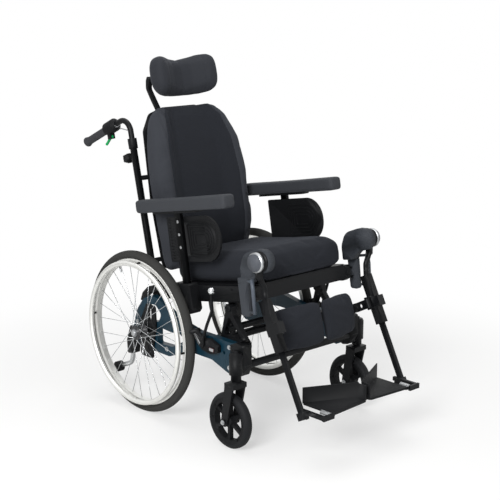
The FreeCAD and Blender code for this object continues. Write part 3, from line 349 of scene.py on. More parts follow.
# Nylon of knobs, guards and sockets: matt black
NYLON = MouldedNylon(
    "moulded_glass_filled_nylon", "#0e0f11", 0.6, grain_mm=1.8, relief=0.16, mottle=0.08,
)
# Soft grey moulded caps of the knee knobs
GREY_CAP = MouldedNylon("moulded_nylon_grey", "#4c4f55", 0.5, relief=0.12, mottle=0.06)
# Moulded covers of the leg hangers: charcoal, a shade paler than the frame
HANGER = MouldedNylon(
    "moulded_nylon_charcoal", "#34373c", 0.6, grain_mm=1.8, relief=0.14, mottle=0.07,
)
# Signal colours of the release levers and the brake pins
GREEN_NYLON = MouldedNylon("moulded_nylon_green", "#179a55", 0.46)
RED_PIN = MouldedNylon("moulded_nylon_oxide_red", "#4a1a1c", 0.5)
# Rubbery skin of the push grips: dull, with a coarse pebble
GRIP = GrainedSkin(
    "moulded_thermoplastic_rubber", "#36373a", 0.74, grain_mm=2.4, relief=0.3, mottle=0.06,
)
# Tyres: grey rubber at the rear, slightly shiny black polyurethane on the casters
TYRE = TyreCompound("vulcanised_rubber_grey", "#353534", 0.9, relief=0.45, mottle=0.10)
CASTER_TYRE = TyreCompound(
    "polyurethane_tyre_black", "#1a1b1d", 0.62, grain_mm=2.0, relief=0.2,
)
# Anodised rim: bright silver, drawn lines round the hoop hardly show
RIM = BrushedMetal(
    "anodised_aluminium_rim", "#ecece9", 0.5, grain_mm=1.5, relief=0.03, mottle=0.04,
)
# Polished handrim: a little brighter in its highlights than the rim
HANDRIM = BrushedMetal(
    "polished_aluminium_handrim", "#e6e6e3", 0.42, grain_mm=1.5, relief=0.02, mottle=0.04,
)
# Drawn wire of the spokes: thin sharp highlights
SPOKE_STEEL = BrushedMetal(
    "drawn_stainless_steel", "#c4c6c8", 0.25, grain_mm=1.0, relief=0.02, mottle=0.05,
)
# Chrome of rods and buttons: mirror bright
CHROME = BrushedMetal("chromed_steel", "#d8dadc", 0.1, grain_mm=1.0, relief=0.01, mottle=0.03)
# Zinc plate on screws and axles: soft grey gleam
ZINC = BrushedMetal("zinc_plated_steel", "#b2b4b6", 0.34, grain_mm=1.2, relief=0.05, mottle=0.10)
# Cast hub caps: dull silver
CAST = BrushedMetal("cast_aluminium", "#8e9093", 0.48, grain_mm=1.8, relief=0.10, mottle=0.10)
# Painted strut beside each swing-away post: satin blue-grey
BLUE_STRUT = Finish(
    "painted_strut_blue_grey", "#434a54", 0.45, grain_mm=1.4, relief=0.05, mottle=0.06,
    specular=0.4,
)
# Hub shell: black anodised and turned, with a soft gleam
HUB = Finish("anodised_aluminium_black", "#1c1d20", 0.36, grain_mm=1.4, relief=0.05, specular=0.5)


# Mesh tools

# Angles in degrees below which an edge is shaded smooth: small parts, nodes, pads
SMALL_PART_ANGLE = 35.0
NODE_ANGLE = 32.0
PAD_ANGLE = 180.0
# Farthest apart, in metres, that two corners of a node are welded
WELD = 0.00002


def to_object(bm: Mesh, name: str, place: Matrix) -> bpy.types.Object:
    """Turn a bmesh in millimetres into an object at the origin of the row frame.

    Args:
        bm: The mesh, which is freed.
        name: Name of the piece.
        place: Frame that the millimetre coordinates belong to.

    Returns:
        The new object, linked to the scene.
    """
    bm.transform(place @ SCALE)
    return link_mesh(bm, name, SMALL_PART_ANGLE)


def link_mesh(bm: Mesh, name: str, angle: float) -> bpy.types.Object:
    """Link a bmesh to the scene as an object, shade it by an angle and free it."""
    mesh = bpy.data.meshes.new(name)
    bm.to_mesh(mesh)
    bm.free()
    made = bpy.data.objects.new(name, mesh)
    bpy.context.scene.collection.objects.link(made)
    shade_by_angle(mesh, angle)
    return made


def shade_by_angle(mesh: bpy.types.Mesh, angle: float) -> None:
    """Shade a mesh smooth except at edges sharper than an angle in degrees."""
    mesh.polygons.foreach_set("use_smooth", [True] * len(mesh.polygons))
    mesh.set_sharp_from_angle(angle=math.radians(angle))
    mesh.update()


def dress(
    piece: bpy.types.Object, body: str, *finishes: Finish, slot: str | None = None,
) -> None:
    """Give a piece its finishes and its body.

    Args:
        piece: The finished object.
        body: Body that the piece rides on.
        finishes: Finishes in the order of the mesh's material indices.
        slot: Material slot of the record, where the finish is one of these; not used.
    """
    for finish in finishes:
        piece.data.materials.append(finish.material())
    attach(piece, body)
    LOG.info("piece %s rides on %s", piece.name, body)


def evaluated_mesh(piece: bpy.types.Object) -> bpy.types.Mesh:
    """Return a mesh with the piece's modifiers applied."""
    graph = bpy.context.evaluated_depsgraph_get()
    graph.update()
    return bpy.data.meshes.new_from_object(piece.evaluated_get(graph))


def apply_modifiers(piece: bpy.types.Object) -> None:
    """Replace the piece's mesh by its evaluated one and drop its modifiers."""
    mesh = evaluated_mesh(piece)
    piece.modifiers.clear()
    piece.data = mesh


def loft(sections: Sequence[Sequence[Vector]]) -> Mesh:
    """Skin a closed solid through rings of equal length.

    Args:
        sections: Rings of points, each in the same order.

    Returns:
        A closed mesh with outward normals.
    """
    bm = bmesh.new()
    rings = []
    for points in sections:
        made = bmesh.ops.create_circle(bm, segments=len(points), radius=1.0)
        for vert, point in zip(made["verts"], points):
            vert.co = point
        rings.append(list({edge for vert in made["verts"] for edge in vert.link_edges}))
    for first, second in zip(rings, rings[1:]):
        bmesh.ops.bridge_loops(bm, edges=first + second)
    bmesh.ops.holes_fill(bm, edges=rings[0] + rings[-1])
    bmesh.ops.recalc_face_normals(bm, faces=bm.faces)
    return bm


def circle(count: int) -> Iterator[tuple[float, float]]:
    """Give the cosine and sine of evenly spaced turns."""
    for step in range(count):
        turn = 2 * math.pi * step / count
        yield math.cos(turn), math.sin(turn)


def power(value: float, exponent: float) -> float:
    """Raise to a power and keep the sign."""
    return math.copysign(abs(value) ** exponent, value)


def smooth_step(value: float, low: float, high: float) -> float:
    """Blend from 0 at low to 1 at high with flat ends."""
    part = max(0.0, min(1.0, (value - low) / (high - low)))
    return part * part * (3 - 2 * part)


def between(value: float, table: Sequence[tuple[float, float]]) -> float:
    """Read a smooth curve through (place, size) pairs.

    Args:
        value: Place to read at.
        table: Pairs in rising order of place.

    Returns:
        The size there.
    """
    if value <= table[0][0]:
        return table[0][1]
    for (x0, y0), (x1, y1) in zip(table, table[1:]):
        if value <= x1:
            rise = y1 - y0
            eased = rise * smooth_step(value, x0, x1) * 0.5
            return y0 + eased + rise * (value - x0) / (x1 - x0) * 0.5
    return table[-1][1]


def edges_of(verts: Sequence[bmesh.types.BMVert]) -> list[bmesh.types.BMEdge]:
    """List the edges that meet at some vertices."""
    return list({edge for vert in verts for edge in vert.link_edges})


def ease(
    bm: Mesh, verts: Sequence[bmesh.types.BMVert], edges: list[bmesh.types.BMEdge], width: float,
    index: int,
) -> None:
    """Round edges of a new solid and give its faces a material.

    Args:
        bm: Mesh in millimetres that holds it.
        verts: Its vertices.
        edges: The edges to round.
        width: Width of the eased edges.
        index: Material index of its faces.
    """
    bevelled = bmesh.ops.bevel(
        bm, geom=edges, offset=width, offset_type="OFFSET", affect="EDGES", segments=2,
        profile=0.5, material=-1,
    )
    faces = {face for vert in verts if vert.is_valid for face in vert.link_faces}
    for face in faces | set(bevelled["faces"]):
        face.material_index = index


def bolt(
    bm: Mesh, at: Vector, axis: Vector, radius: float, height: float, sides: int = 6,
    index: int = 0,
) -> None:
    """Add a hexagon or round head with eased edges.

    Args:
        bm: Mesh in millimetres that receives it.
        at: Middle of the face that it sits on.
        axis: Direction that it stands out in.
        radius: Half its width.
        height: How far it stands out.
        sides: 6 for a hexagon, more for a round head.
        index: Material index of its faces.
    """
    turn = axis.normalized().to_track_quat("Z", "Y").to_matrix().to_4x4()
    place = Matrix.Translation(at + axis.normalized() * height / 2) @ turn
    verts = bmesh.ops.create_cone(
        bm, cap_ends=True, segments=sides, radius1=radius, radius2=radius, depth=height,
        matrix=place,
    )["verts"]
    rim = [
        edge for edge in edges_of(verts)
        if abs((edge.verts[0].co - edge.verts[1].co).dot(axis)) < height * 0.5
    ]
    ease(bm, verts, rim, min(radius, height) * 0.22, index)


def nut_on_washer(
    bm: Mesh, at: Vector, out: Vector, washer: float, thickness: float, nut: float,
) -> None:
    """Add a washer and on it a hexagon head, given their radii and the washer's thickness."""
    bolt(bm, at, out, washer, thickness, 24)
    bolt(bm, at + out * thickness, out, nut, 4)


def hardware(bm: Mesh, name: str, place: Matrix, body: str, *finishes: Finish) -> None:
    """Turn a mesh of small parts, whose faces may point inwards, into a dressed piece."""
    bmesh.ops.recalc_face_normals(bm, faces=bm.faces)
    dress(to_object(bm, name, place), body, *finishes)


def rounded_loop(
    low: tuple[float, float], high: tuple[float, float], front: float, rear: float,
) -> list[tuple[float, float]]:
    """Trace a rectangle with two large front corners and two small rear ones.

    Args:
        low: Least Y and Z.
        high: Greatest Y and Z.
        front: Radius of the corners at the least Y.
        rear: Radius of the corners at the greatest Y.

    Returns:
        Points (y, z) in order, the same number for every loop.
    """
    corners = (
        (low[0] + front, high[1] - front, front, 90), (low[0] + front, low[1] + front, front, 180),
        (high[0] - rear, low[1] + rear, rear, 270), (high[0] - rear, high[1] - rear, rear, 0),
    )
    points = []
    for y, z, radius, start in corners:
        for step in range(11):
            turn = math.radians(start + 9 * step)
            points.append((y + radius * math.cos(turn), z + radius * math.sin(turn)))
    return points


def rib(bm: Mesh, inset: float, face: float, height: float, width: float = 4.5) -> None:
    """Raise one closed rib that follows the border of a clothing guard.

    Args:
        bm: Mesh in millimetres that receives it.
        inset: Distance from the border.
        face: X of the face that it stands on.
        height: How far it stands out along X, with its sign.
        width: Width of the rib.
    """
    rings = []
    for step, x in ((0, face), (0.2, face + height), (0.8, face + height), (1, face)):
        d = inset + width * step
        loop = rounded_loop((-8 + d, 170 + d), (150 - d, 292 - d), 58 - d, max(10 - d, 2))
        rings.append([bm.verts.new((x, y, z)) for y, z in loop])
    count = len(rings[0])
    for ring, following in zip(rings, rings[1:] + rings[:1]):
        for i in range(count):
            j = (i + 1) % count
            bm.faces.new((ring[i], ring[j], following[j], following[i]))


# Upholstery

# Air pressure in the covers, frames that it acts for and passes that even out the voxels
PRESSURE = 4.0
FRAMES = 20
SMOOTHING = 2


@dataclass
class Stuffed:
    """A stuffed piece: its names, and how its cover is swollen as cloth over foam."""

    name: str
    body: str
    place: Matrix
    voxel: float
    cap: float
    fill: float
    finishes: tuple[Finish, ...] = (CLOTH,)
    node: str | None = None

    def build(
        self, rings: Sequence[Sequence[Vector]], depth_at: Callable[[Vector, Vector], float],
        index_at: Callable[[Vector], int] | None = None,
    ) -> None:
        """Skin the form, swell it, press its seams and dress it.

        Args:
            rings: Rings of points, in millimetres, a little inside the finished pad.
            depth_at: Gives how far a point is pressed in, from the point and its normal.
            index_at: Gives the material index at a point, where there are several cloths.
        """
        piece = to_object(loft(rings), self.name, self.place)
        self.swell(piece)
        press(piece, self.place, depth_at)
        shade_by_angle(piece.data, PAD_ANGLE)
        if index_at:
            back = (self.place @ SCALE).inverted()
            for face in piece.data.polygons:
                face.material_index = index_at(back @ face.center)
        dress(piece, self.body, *self.finishes, slot="cushion_fabric")
        if self.node:
            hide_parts(self.node)

    def swell(self, piece: bpy.types.Object) -> None:
        """Remesh the form, inflate it and refine it once."""
        remesh = piece.modifiers.new("even", "REMESH")
        remesh.mode = "VOXEL"
        remesh.voxel_size = self.voxel
        apply_modifiers(piece)
        self.simulate(piece)
        self.relax(piece)
        finer = piece.modifiers.new("finer", "SUBSURF")
        finer.levels = 1
        finer.render_levels = 1
        apply_modifiers(piece)

    def simulate(self, piece: bpy.types.Object) -> None:
        """Inflate the cover and cap how far each point may move."""
        start = [vert.co.copy() for vert in piece.data.vertices]
        cloth = piece.modifiers.new("cover", "CLOTH")
        cloth.settings.quality = 4
        cloth.settings.use_pressure = True
        cloth.settings.uniform_pressure_force = PRESSURE
        cloth.settings.effector_weights.gravity = 0
        cloth.point_cache.frame_start = 1
        cloth.point_cache.frame_end = FRAMES
        scene = bpy.context.scene
        for moment in range(1, FRAMES + 1):
            scene.frame_set(moment)
        swollen = evaluated_mesh(piece)
        piece.modifiers.clear()
        for vert, old, new in zip(piece.data.vertices, start, swollen.vertices):
            step = new.co - old
            if step.length > self.cap:
                step *= self.cap / step.length
            vert.co = old + step
        bpy.data.meshes.remove(swollen)
        scene.frame_set(1)

    def relax(self, piece: bpy.types.Object) -> None:
        """Even out the steps that voxels leave."""
        bm = bmesh.new()
        bm.from_mesh(piece.data)
        for _ in range(SMOOTHING):
            bmesh.ops.smooth_vert(
                bm, verts=bm.verts, factor=0.5, use_axis_x=True, use_axis_y=True, use_axis_z=True,
            )
        bm.to_mesh(piece.data)
        bm.free()


def press(
    piece: bpy.types.Object, place: Matrix, depth_at: Callable[[Vector, Vector], float],
) -> None:
    """Press seams and folds into a cover.

    Args:
        piece: Finished pad.
        place: Frame in which depth_at works, in millimetres.
        depth_at: Gives how far in, in millimetres, from a point and its normal in that frame.
    """
    back = (place @ SCALE).inverted()
    turn = back.to_3x3().normalized()
    mesh = piece.data
    normals = [vert.normal.copy() for vert in mesh.vertices]
    for vert, normal in zip(mesh.vertices, normals):
        depth = depth_at(back @ vert.co, turn @ normal)
        vert.co = vert.co - normal * depth * MM
    mesh.update()


def valley(distance: float, width: float) -> float:
    """Depth, from 0 to 1, of a sewn valley at a distance from its line."""
    return math.exp(-((distance / width) ** 2))


@dataclass
class SeatCushion:
    """Crowned seat cushion with a rolled front, raised thigh edges and a sewn border."""

    low: float = 67.0
    squareness: float = 0.42
    crown: float = 3.0
    thigh: float = 5.0
    seam_z: float = 84.0
    outline: tuple[tuple[float, float, float], ...] = (
        (-150, 192, 136), (-146, 204, 152), (-134, 210, 162), (-112, 213, 168), (-60, 214, 169),
        (40, 214, 168), (140, 214, 169), (230, 213, 172), (284, 210, 171), (298, 203, 164),
        (302, 192, 150),
    )

    def section(self, y: float, half: float, high: float) -> list[Vector]:
        """One ring across the cushion, flat below and crowned on top."""
        points = []
        middle = (self.low + high) / 2
        for across, up in circle(64):
            x = half * power(across, self.squareness)
            z = middle + (high - self.low) / 2 * power(up, self.squareness)
            if up > 0:
                thigh = self.thigh * smooth_step(abs(x) / half, 0.55, 0.85)
                z += self.crown * (1 - (x / half) ** 2) + thigh
            points.append(Vector((x, y, z)))
        return points

    def depth(self, at: Vector, normal: Vector) -> float:
        """Press a border seam low on the sides, creases at the front corners and soft waves."""
        seam = 1.8 * valley(at.z - self.seam_z - 0.02 * at.y, 3.2) * (1 - abs(normal.z))
        edge = max(abs(at.x) - 150, 0) / 60
        crease = noise.noise(Vector((at.x * 0.035, at.y * 0.012, at.z * 0.02)))
        corner = smooth_step(-at.y, 60, 140) * edge
        return seam + 2.4 * corner * abs(crease) + 0.9 * noise.noise(at * 0.011)

    def build(self) -> None:
        """Make, swell and dress the cushion."""
        stuffed = Stuffed(
            "seat_cushion_cover", "seat", SEAT, 0.006, 0.007, 0.8, node="seat_cushion",
        )
        stuffed.build([self.section(*station) for station in self.outline], self.depth)


@dataclass
class BackCushion:
    """Tall back cushion: hollow front panel between two side bolsters, gathered at the top.

    The tables give half the width, the front of the bolsters and the front of the panel by height.
    """

    rear: float = -17.0
    border_y: float = -34.0
    panel: float = 0.74
    width: tuple[tuple[float, float], ...] = (
        (62, 186), (72, 200), (100, 208), (160, 213), (240, 218), (400, 219), (470, 214),
        (530, 206), (580, 193), (618, 180), (645, 163), (662, 144), (674, 120),
    )
    wing: tuple[tuple[float, float], ...] = (
        (62, -62), (78, -80), (130, -94), (172, -116), (240, -125), (400, -131), (530, -123),
        (618, -101), (662, -80), (674, -62),
    )
    hollow: tuple[tuple[float, float], ...] = (
        (62, -54), (78, -69), (150, -78), (240, -84), (400, -82), (530, -76), (618, -68),
        (662, -58), (674, -48),
    )
    heights: tuple[float, ...] = (
        62, 66, 74, 88, 110, 140, 165, 200, 240, 290, 340, 400, 450, 490, 530, 570, 600, 626,
        645, 658, 667, 674,
    )

    def front(self, x: float, z: float) -> float:
        """Give Y of the front face at a place, before the edges are rounded."""
        share = smooth_step(abs(x) / between(z, self.width), 0.42, 0.84)
        return between(z, self.hollow) * (1 - share) + between(z, self.wing) * share

    def section(self, z: float) -> list[Vector]:
        """One ring at one height."""
        half = between(z, self.width)
        middle = (self.rear + self.front(half * 0.8, z)) / 2
        points = []
        for across, back in circle(96):
            x = half * power(across, 0.5)
            reach = power(back, 0.4)
            if reach >= 0:
                y = middle + (self.rear - middle) * reach
            else:
                y = middle + (self.front(x, z) - middle) * -reach
            points.append(Vector((x, y, z)))
        return points

    def seam_x(self, z: float) -> float:
        """Give X of the seam between the front panel and a bolster."""
        return between(z, self.width) * self.panel

    def depth(self, at: Vector, normal: Vector) -> float:
        """Press bolster seams, the border seam, gathers at the shoulders and pulls at the foot."""
        facing = smooth_step(-normal.y, 0.1, 0.5)
        depth = 2.2 * facing * valley(abs(at.x) - self.seam_x(at.z), 4.0)
        depth += 1.4 * valley(at.y - self.border_y, 3.5) * (1 - abs(normal.y))
        across = abs(at.x) / between(at.z, self.width)
        gather = smooth_step(at.z, 420, 640) * smooth_step(across, 0.45, 0.62)
        gather *= 1 - smooth_step(across, 0.8, 0.95)
        drift = 2 * noise.noise(Vector((at.x, 0, at.z)) * 0.012)
        depth += 1.8 * gather * facing * math.sin(at.x * 0.28 + drift)
        foot = (1 - smooth_step(at.z, 90, 260)) * smooth_step(across, 0.5, 0.8) * facing
        depth += 2.4 * foot * math.sin(at.x * 0.14 + at.z * 0.10)
        return depth + 1.2 * noise.noise(Vector((at.x, at.y, at.z * 0.6)) * 0.013)

    def cloth(self, at: Vector) -> int:
        """Give the bolsters and the sides the knitted cloth, the second finish."""
        return int(abs(at.x) > self.seam_x(at.z) and at.y < self.border_y)

    def build(self) -> None:
        """Make, swell and dress the cushion."""
        stuffed = Stuffed(
            "back_cushion_cover", "back", BACK, 0.0062, 0.007, 0.75, (CLOTH, BOLSTER),
            "back_cushion",
        )
        stuffed.build([self.section(z) for z in self.heights], self.depth, self.cloth)


@dataclass
class Headrest:
    """Winged head cushion in coated stretch cloth, and the cup that it turns on.

    A station is X, front, rear, low and high; the right half is given and mirrored. The cup is
    turned round its axis from places along it and the heights above the axis there.
    """

    half: tuple[tuple[float, ...], ...] = (
        (144, -98, -62, 754, 820), (138, -110, -52, 738, 838), (128, -119, -42, 721, 849),
        (110, -120, -34, 710, 856), (84, -98, -24, 705, 859), (44, -71, -10, 703, 852),
    )
    middle: tuple[float, ...] = (0, -60, -4, 703, 846)
    axis_z: float = 786.0
    cup_profile: tuple[tuple[float, float], ...] = ((-26, 18), (8, 18), (16, 14), (16, 11.6))
    cup_wall: float = 2.2

    def section(self, x: float, front: float, rear: float, low: float, high: float) -> list[Vector]:
        """One upright ring across the pad."""
        y, deep = (front + rear) / 2, (rear - front) / 2
        z, tall = (low + high) / 2, (high - low) / 2
        return [
            Vector((x, y + deep * power(back, 0.75), z + tall * power(up, 0.62)))
            for back, up in circle(40)
        ]

    def depth(self, at: Vector, normal: Vector) -> float:
        """Press a rear border seam and two soft folds beside the hollow."""
        depth = 1.3 * valley(at.y + 30 + 0.0012 * at.x * at.x, 3.0) * (1 - abs(normal.y))
        depth += smooth_step(-normal.y, 0.2, 0.6) * valley(abs(at.x) - 88, 5.0)
        return depth + 0.6 * noise.noise(at * 0.02)

    def build(self) -> None:
        """Make, swell and dress the pad, then its cup."""
        mirrored = [(-x, *rest) for x, *rest in self.half]
        stations = [*mirrored, self.middle, *self.half[::-1]]
        stuffed = Stuffed(
            "headrest_cover", "headrest", BACK, 0.0045, 0.004, 0.9, (HEAD_CLOTH,), "headrest_pad",
        )
        stuffed.build([self.section(*station) for station in stations], self.depth)
        self.cup()

    def cup(self) -> None:
        """Moulded cup on the pad's back, open towards the ball, with a clamp screw."""
        bm = bmesh.new()
        verts = [bm.verts.new((0, y, self.axis_z + up)) for y, up in self.cup_profile]
        edges = [bm.edges.new(pair) for pair in zip(verts, verts[1:])]
        bmesh.ops.spin(
            bm, geom=verts + edges, cent=(0, 0, self.axis_z), axis=(0, 1, 0), angle=2 * math.pi,
            steps=32, use_merge=True,
        )
        bmesh.ops.remove_doubles(bm, verts=bm.verts, dist=0.01)
        foot = [edge for edge in bm.edges if edge.is_boundary and edge.verts[0].co.y < 0]
        bmesh.ops.holes_fill(bm, edges=foot)
        bmesh.ops.recalc_face_normals(bm, faces=bm.faces)
        bmesh.ops.solidify(bm, geom=bm.faces, thickness=self.cup_wall)
        bolt(bm, Vector((16.5, 4, self.axis_z)), Vector((1, 0, 0)), 5, 5)
        hardware(bm, "headrest_cup", BACK, "headrest", NYLON)


@dataclass
class CalfPad:
    """Rolled calf cushion in a sewn sleeve, splayed outwards.

    A station is X, half the depth and half the height.
    """

    side: Side
    splay: float = math.tan(math.radians(13))
    seams: tuple[float, float] = (20.0, 178.0)
    stations: tuple[tuple[float, float, float], ...] = (
        (7, 8, 58), (9, 14, 67), (16, 19, 72), (40, 23, 76), (100, 25, 77), (150, 23, 76),
        (178, 20, 72), (191, 14, 63), (197, 8, 52),
    )

    def section(self, x: float, half: float, reach: float) -> list[Vector]:
        """One ring across the pad: bulging to the front, flatter at the rear."""
        middle = (x - 6) * self.splay
        points = []
        for back, up in circle(40):
            deep = half if back < 0 else half * 0.55
            y = middle + 4 + deep * power(back, 0.9)
            points.append(Vector((self.side.sign * x, y, reach * power(up, 0.72))))
        return points

    def depth(self, at: Vector, normal: Vector) -> float:
        """Press the end seams, with faint pulls between them."""
        x = abs(at.x)
        depth = sum(1.4 * valley(x - seam, 2.6) for seam in self.seams)
        depth += 0.8 * math.sin(at.z * 0.16 + x * 0.05) * (1 - smooth_step(abs(x - 100), 20, 80))
        return depth + 0.9 * noise.noise(at * 0.02)

    def build(self) -> None:
        """Make, swell and dress the pad."""
        word = self.side.word
        stuffed = Stuffed(
            f"calf_pad_cover_{word}", f"calf_pad_{word}", CALF, 0.0045, 0.004, 0.85,
        )
        stuffed.build([self.section(*station) for station in self.stations], self.depth)


@dataclass
class ArmPad:
    """Moulded arm pad: long, crowned, with a parting line and a pressed end.

    An end is given by its distance from the tip and how far it draws in across and in height.
    """

    side: Side
    centre: float = 263.0
    low: float = 333.4
    high: float = 381.0
    half: float = 28.5
    tips: tuple[float, float] = (-106.0, 391.5)
    end: tuple[tuple[float, float, float], ...] = (
        (0, 12, 9), (1.5, 7, 5), (5, 3.5, 2.2), (11, 1.2, 0.6), (20, 0, 0),
    )
    squareness: float = 0.36
    crown: float = 1.4

    def section(self, y: float, across: float = 0.0, up: float = 0.0) -> list[Vector]:
        """One ring across the pad, drawn in at an end and flat below."""
        half, low, high = self.half - across, self.low + up, self.high - up
        points = []
        for cos, sin in circle(56):
            x = half * power(cos, self.squareness)
            z = (low + high) / 2 + (high - low) / 2 * power(sin, self.squareness)
            if sin > 0:
                z += self.crown * (1 - (x / half) ** 2)
            points.append(Vector((self.side.sign * self.centre + x, y, z)))
        return points

    def build(self) -> None:
        """Make and dress the pad."""
        front, rear = self.tips
        sections = [self.section(front + d, across, up) for d, across, up in self.end]
        sections += [self.section(y) for y in range(-70, 360, 14)]
        sections += [self.section(rear - d, across, up) for d, across, up in reversed(self.end)]
        bm = loft(sections)
        bmesh.ops.subdivide_edges(bm, edges=bm.edges, cuts=1, use_grid_fill=True, smooth=0.0)
        piece = to_object(bm, f"arm_pad_cover_{self.side.word}", SEAT)
        press(piece, SEAT, self.depth)
        shade_by_angle(piece.data, 60)
        dress(piece, f"armrest_{self.side.word}", ARM_SKIN, slot="arm_pad_skin")
        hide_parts(f"arm_pad_{self.side.word}")

    def depth(self, at: Vector, normal: Vector) -> float:
        """Press a parting line near the base and the shallow dip where a forearm lies."""
        line = 1.0 * valley(at.z - 341, 1.6) * (1 - abs(normal.z))
        dip = 1.6 * smooth_step(normal.z, 0.5, 0.95) * valley(at.y - 150, 170)
        return line + dip


# Frame, wheels and fittings

# Nodes that one finish covers, with their material slots: single ones, and those on each side
SINGLE_NODES = (
    ("cross_frame", BLACK_COAT, "black_paint"), ("tilt_towers", BLACK_COAT, "black_paint"),
    ("axle_brackets", BLACK_COAT, "black_paint"), ("caster_housings", BLACK_COAT, "black_paint"),
    ("wheel_axles", ZINC, "bright_steel"), ("brake_mounts", NYLON, "black_plastic"),
    ("seat_frame", BLACK_COAT, "black_paint"), ("arm_sockets", NYLON, "black_plastic"),
    ("tilt_spring_cylinder", BLACK_COAT, "black_paint"), ("tilt_spring_rod", CHROME, "chrome"),
    ("recline_spring_cylinder", BLACK_COAT, "black_paint"),
    ("recline_spring_rod", CHROME, "chrome"), ("back_frame", BLACK_COAT, "black_paint"),
    ("back_shell", NYLON, "black_plastic"), ("headrest_bar", BLACK_COAT, "black_paint"),
)
SIDE_NODES = (
    ("side_frame", PETROL_COAT, "petrol_paint"), ("push_tube", BLACK_COAT, "black_paint"),
    ("release_lever", GREEN_NYLON, "green_plastic"), ("clamp_knob", NYLON, "black_plastic"),
    ("rear_tyre", TYRE, "tyre_rubber"), ("rear_rim", RIM, "rim_aluminium"),
    ("caster_fork", BLACK_COAT, "black_paint"), ("arm_post", BLACK_COAT, "black_paint"),
    ("side_panel", NYLON, "black_plastic"), ("foot_tube", BLACK_COAT, "black_paint"),
)
# Axes along X, as Y and Z in the chair's drawing
REAR_AXLE = (275.0, 305.0)
CASTER_AXLE = (-230.0, 100.0)
KNEE = (-337.0, 673.0)


def body_of(node: str) -> str:
    """Return the body that a node rides on."""
    for body, members in frame["record"]["behaviour"]["bodies"].items():
        if node in members:
            return body
    raise KeyError(node)


def near(axis: tuple[float, float], radius: float) -> Test:
    """Return a test for places within a radius of an axis along X."""
    return lambda at: math.hypot(at.y - axis[0], at.z - axis[1]) < radius


@dataclass
class Rule:
    """Which faces of a node take a finish: those whose middle lies inside a test."""

    finish: Finish
    test: Test


def refine(
    node: str, base: Finish, slot: str | None, rules: Sequence[Rule] = (), place: Matrix = CHAIR,
    keep: Test | None = None,
) -> None:
    """Carry a node over as a welded copy with smooth shading and one finish per region.

    Args:
        node: Name of the node.
        base: Finish of faces that no rule takes.
        slot: Material slot of the record.
        rules: Finishes for regions, tested in order.
        place: Frame in which the rules work, in millimetres.
        keep: Faces to keep, where part of the node is made anew.
    """
    back = (place @ SCALE).inverted()
    bm = bmesh.new()
    bm.from_mesh(frame["nodes"][node].data)
    bmesh.ops.remove_doubles(bm, verts=bm.verts, dist=WELD)
    gone = []
    for face in bm.faces:
        at = back @ face.calc_center_median()
        taken = (index for index, rule in enumerate(rules, start=1) if rule.test(at))
        face.material_index = next(taken, 0)
        if keep and not keep(at):
            gone.append(face)
    if gone:
        bmesh.ops.delete(bm, geom=gone, context="FACES")
    piece = link_mesh(bm, f"{node}_dressed", NODE_ANGLE)
    dress(piece, body_of(node), base, *[rule.finish for rule in rules], slot=slot)
    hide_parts(node)


@dataclass
class SmallParts:
    """Hardware that is too fine for the solids, on one side of the frame and the seat."""

    side: Side
    frame_face: float = 276.0
    frame_bolts: tuple[tuple[float, float], ...] = (
        (-192, 346), (-192, 272), (-130, 340), (20, 352), (150, 260), (322, 330),
    )
    pin_at: tuple[float, float, float] = (294, -120, 324.5)
    pin_size: tuple[float, float, float, float] = (4, 24, 13, 1)
    rail_face: float = 236.0
    rail_screws: tuple[float, ...] = (-30, 120, 210, 300)
    post_face: float = 270.0
    post_screws: tuple[float, ...] = (296, 250, 204)
    guard_faces: tuple[tuple[float, float, tuple[float, ...]], ...] = (
        (255.8, 2.4, (14, 27, 40)), (248.2, -2.4, (2, 15, 28, 41)),
    )

    def build(self) -> None:
        """Make the bolts and pin of the frame, the rail's and the post's screws and the ribs."""
        word, sign = self.side.word, self.side.sign
        out = Vector((sign, 0, 0))
        bm = bmesh.new()
        for y, z in self.frame_bolts:
            nut_on_washer(bm, Vector((sign * self.frame_face, y, z)), out, 8.5, 1.4, 6)
        at = Matrix.Translation((sign * self.pin_at[0], *self.pin_at[1:]))
        pin = bmesh.ops.create_cube(bm, size=1.0, matrix=at @ Matrix.Diagonal(self.pin_size))
        ease(bm, pin["verts"], edges_of(pin["verts"]), 1.2, 1)
        hardware(bm, f"frame_bolts_{word}", CHAIR, "chassis", ZINC, RED_PIN)
        bm = bmesh.new()
        bolt(bm, Vector((sign * 225, -150, 33)), Vector((0, -1, 0)), 10, 2.5, 24)
        for y in self.rail_screws:
            bolt(bm, Vector((sign * self.rail_face, y, 50)), out, 4.5, 2.2, 16)
        hardware(bm, f"rail_screws_{word}", SEAT, "seat", NYLON)
        bm = bmesh.new()
        for z in self.post_screws:
            bolt(bm, Vector((sign * self.post_face, 175, z)), out, 5.5, 2.4, 20)
        hardware(bm, f"arm_post_screws_{word}", SEAT, f"armrest_{word}", ZINC)
        bm = bmesh.new()
        for face, height, insets in self.guard_faces:
            for inset in insets:
                rib(bm, inset, sign * face, sign * height)
        hardware(bm, f"side_panel_ribs_{word}", SEAT, body_of(f"side_panel_{word}"), NYLON)


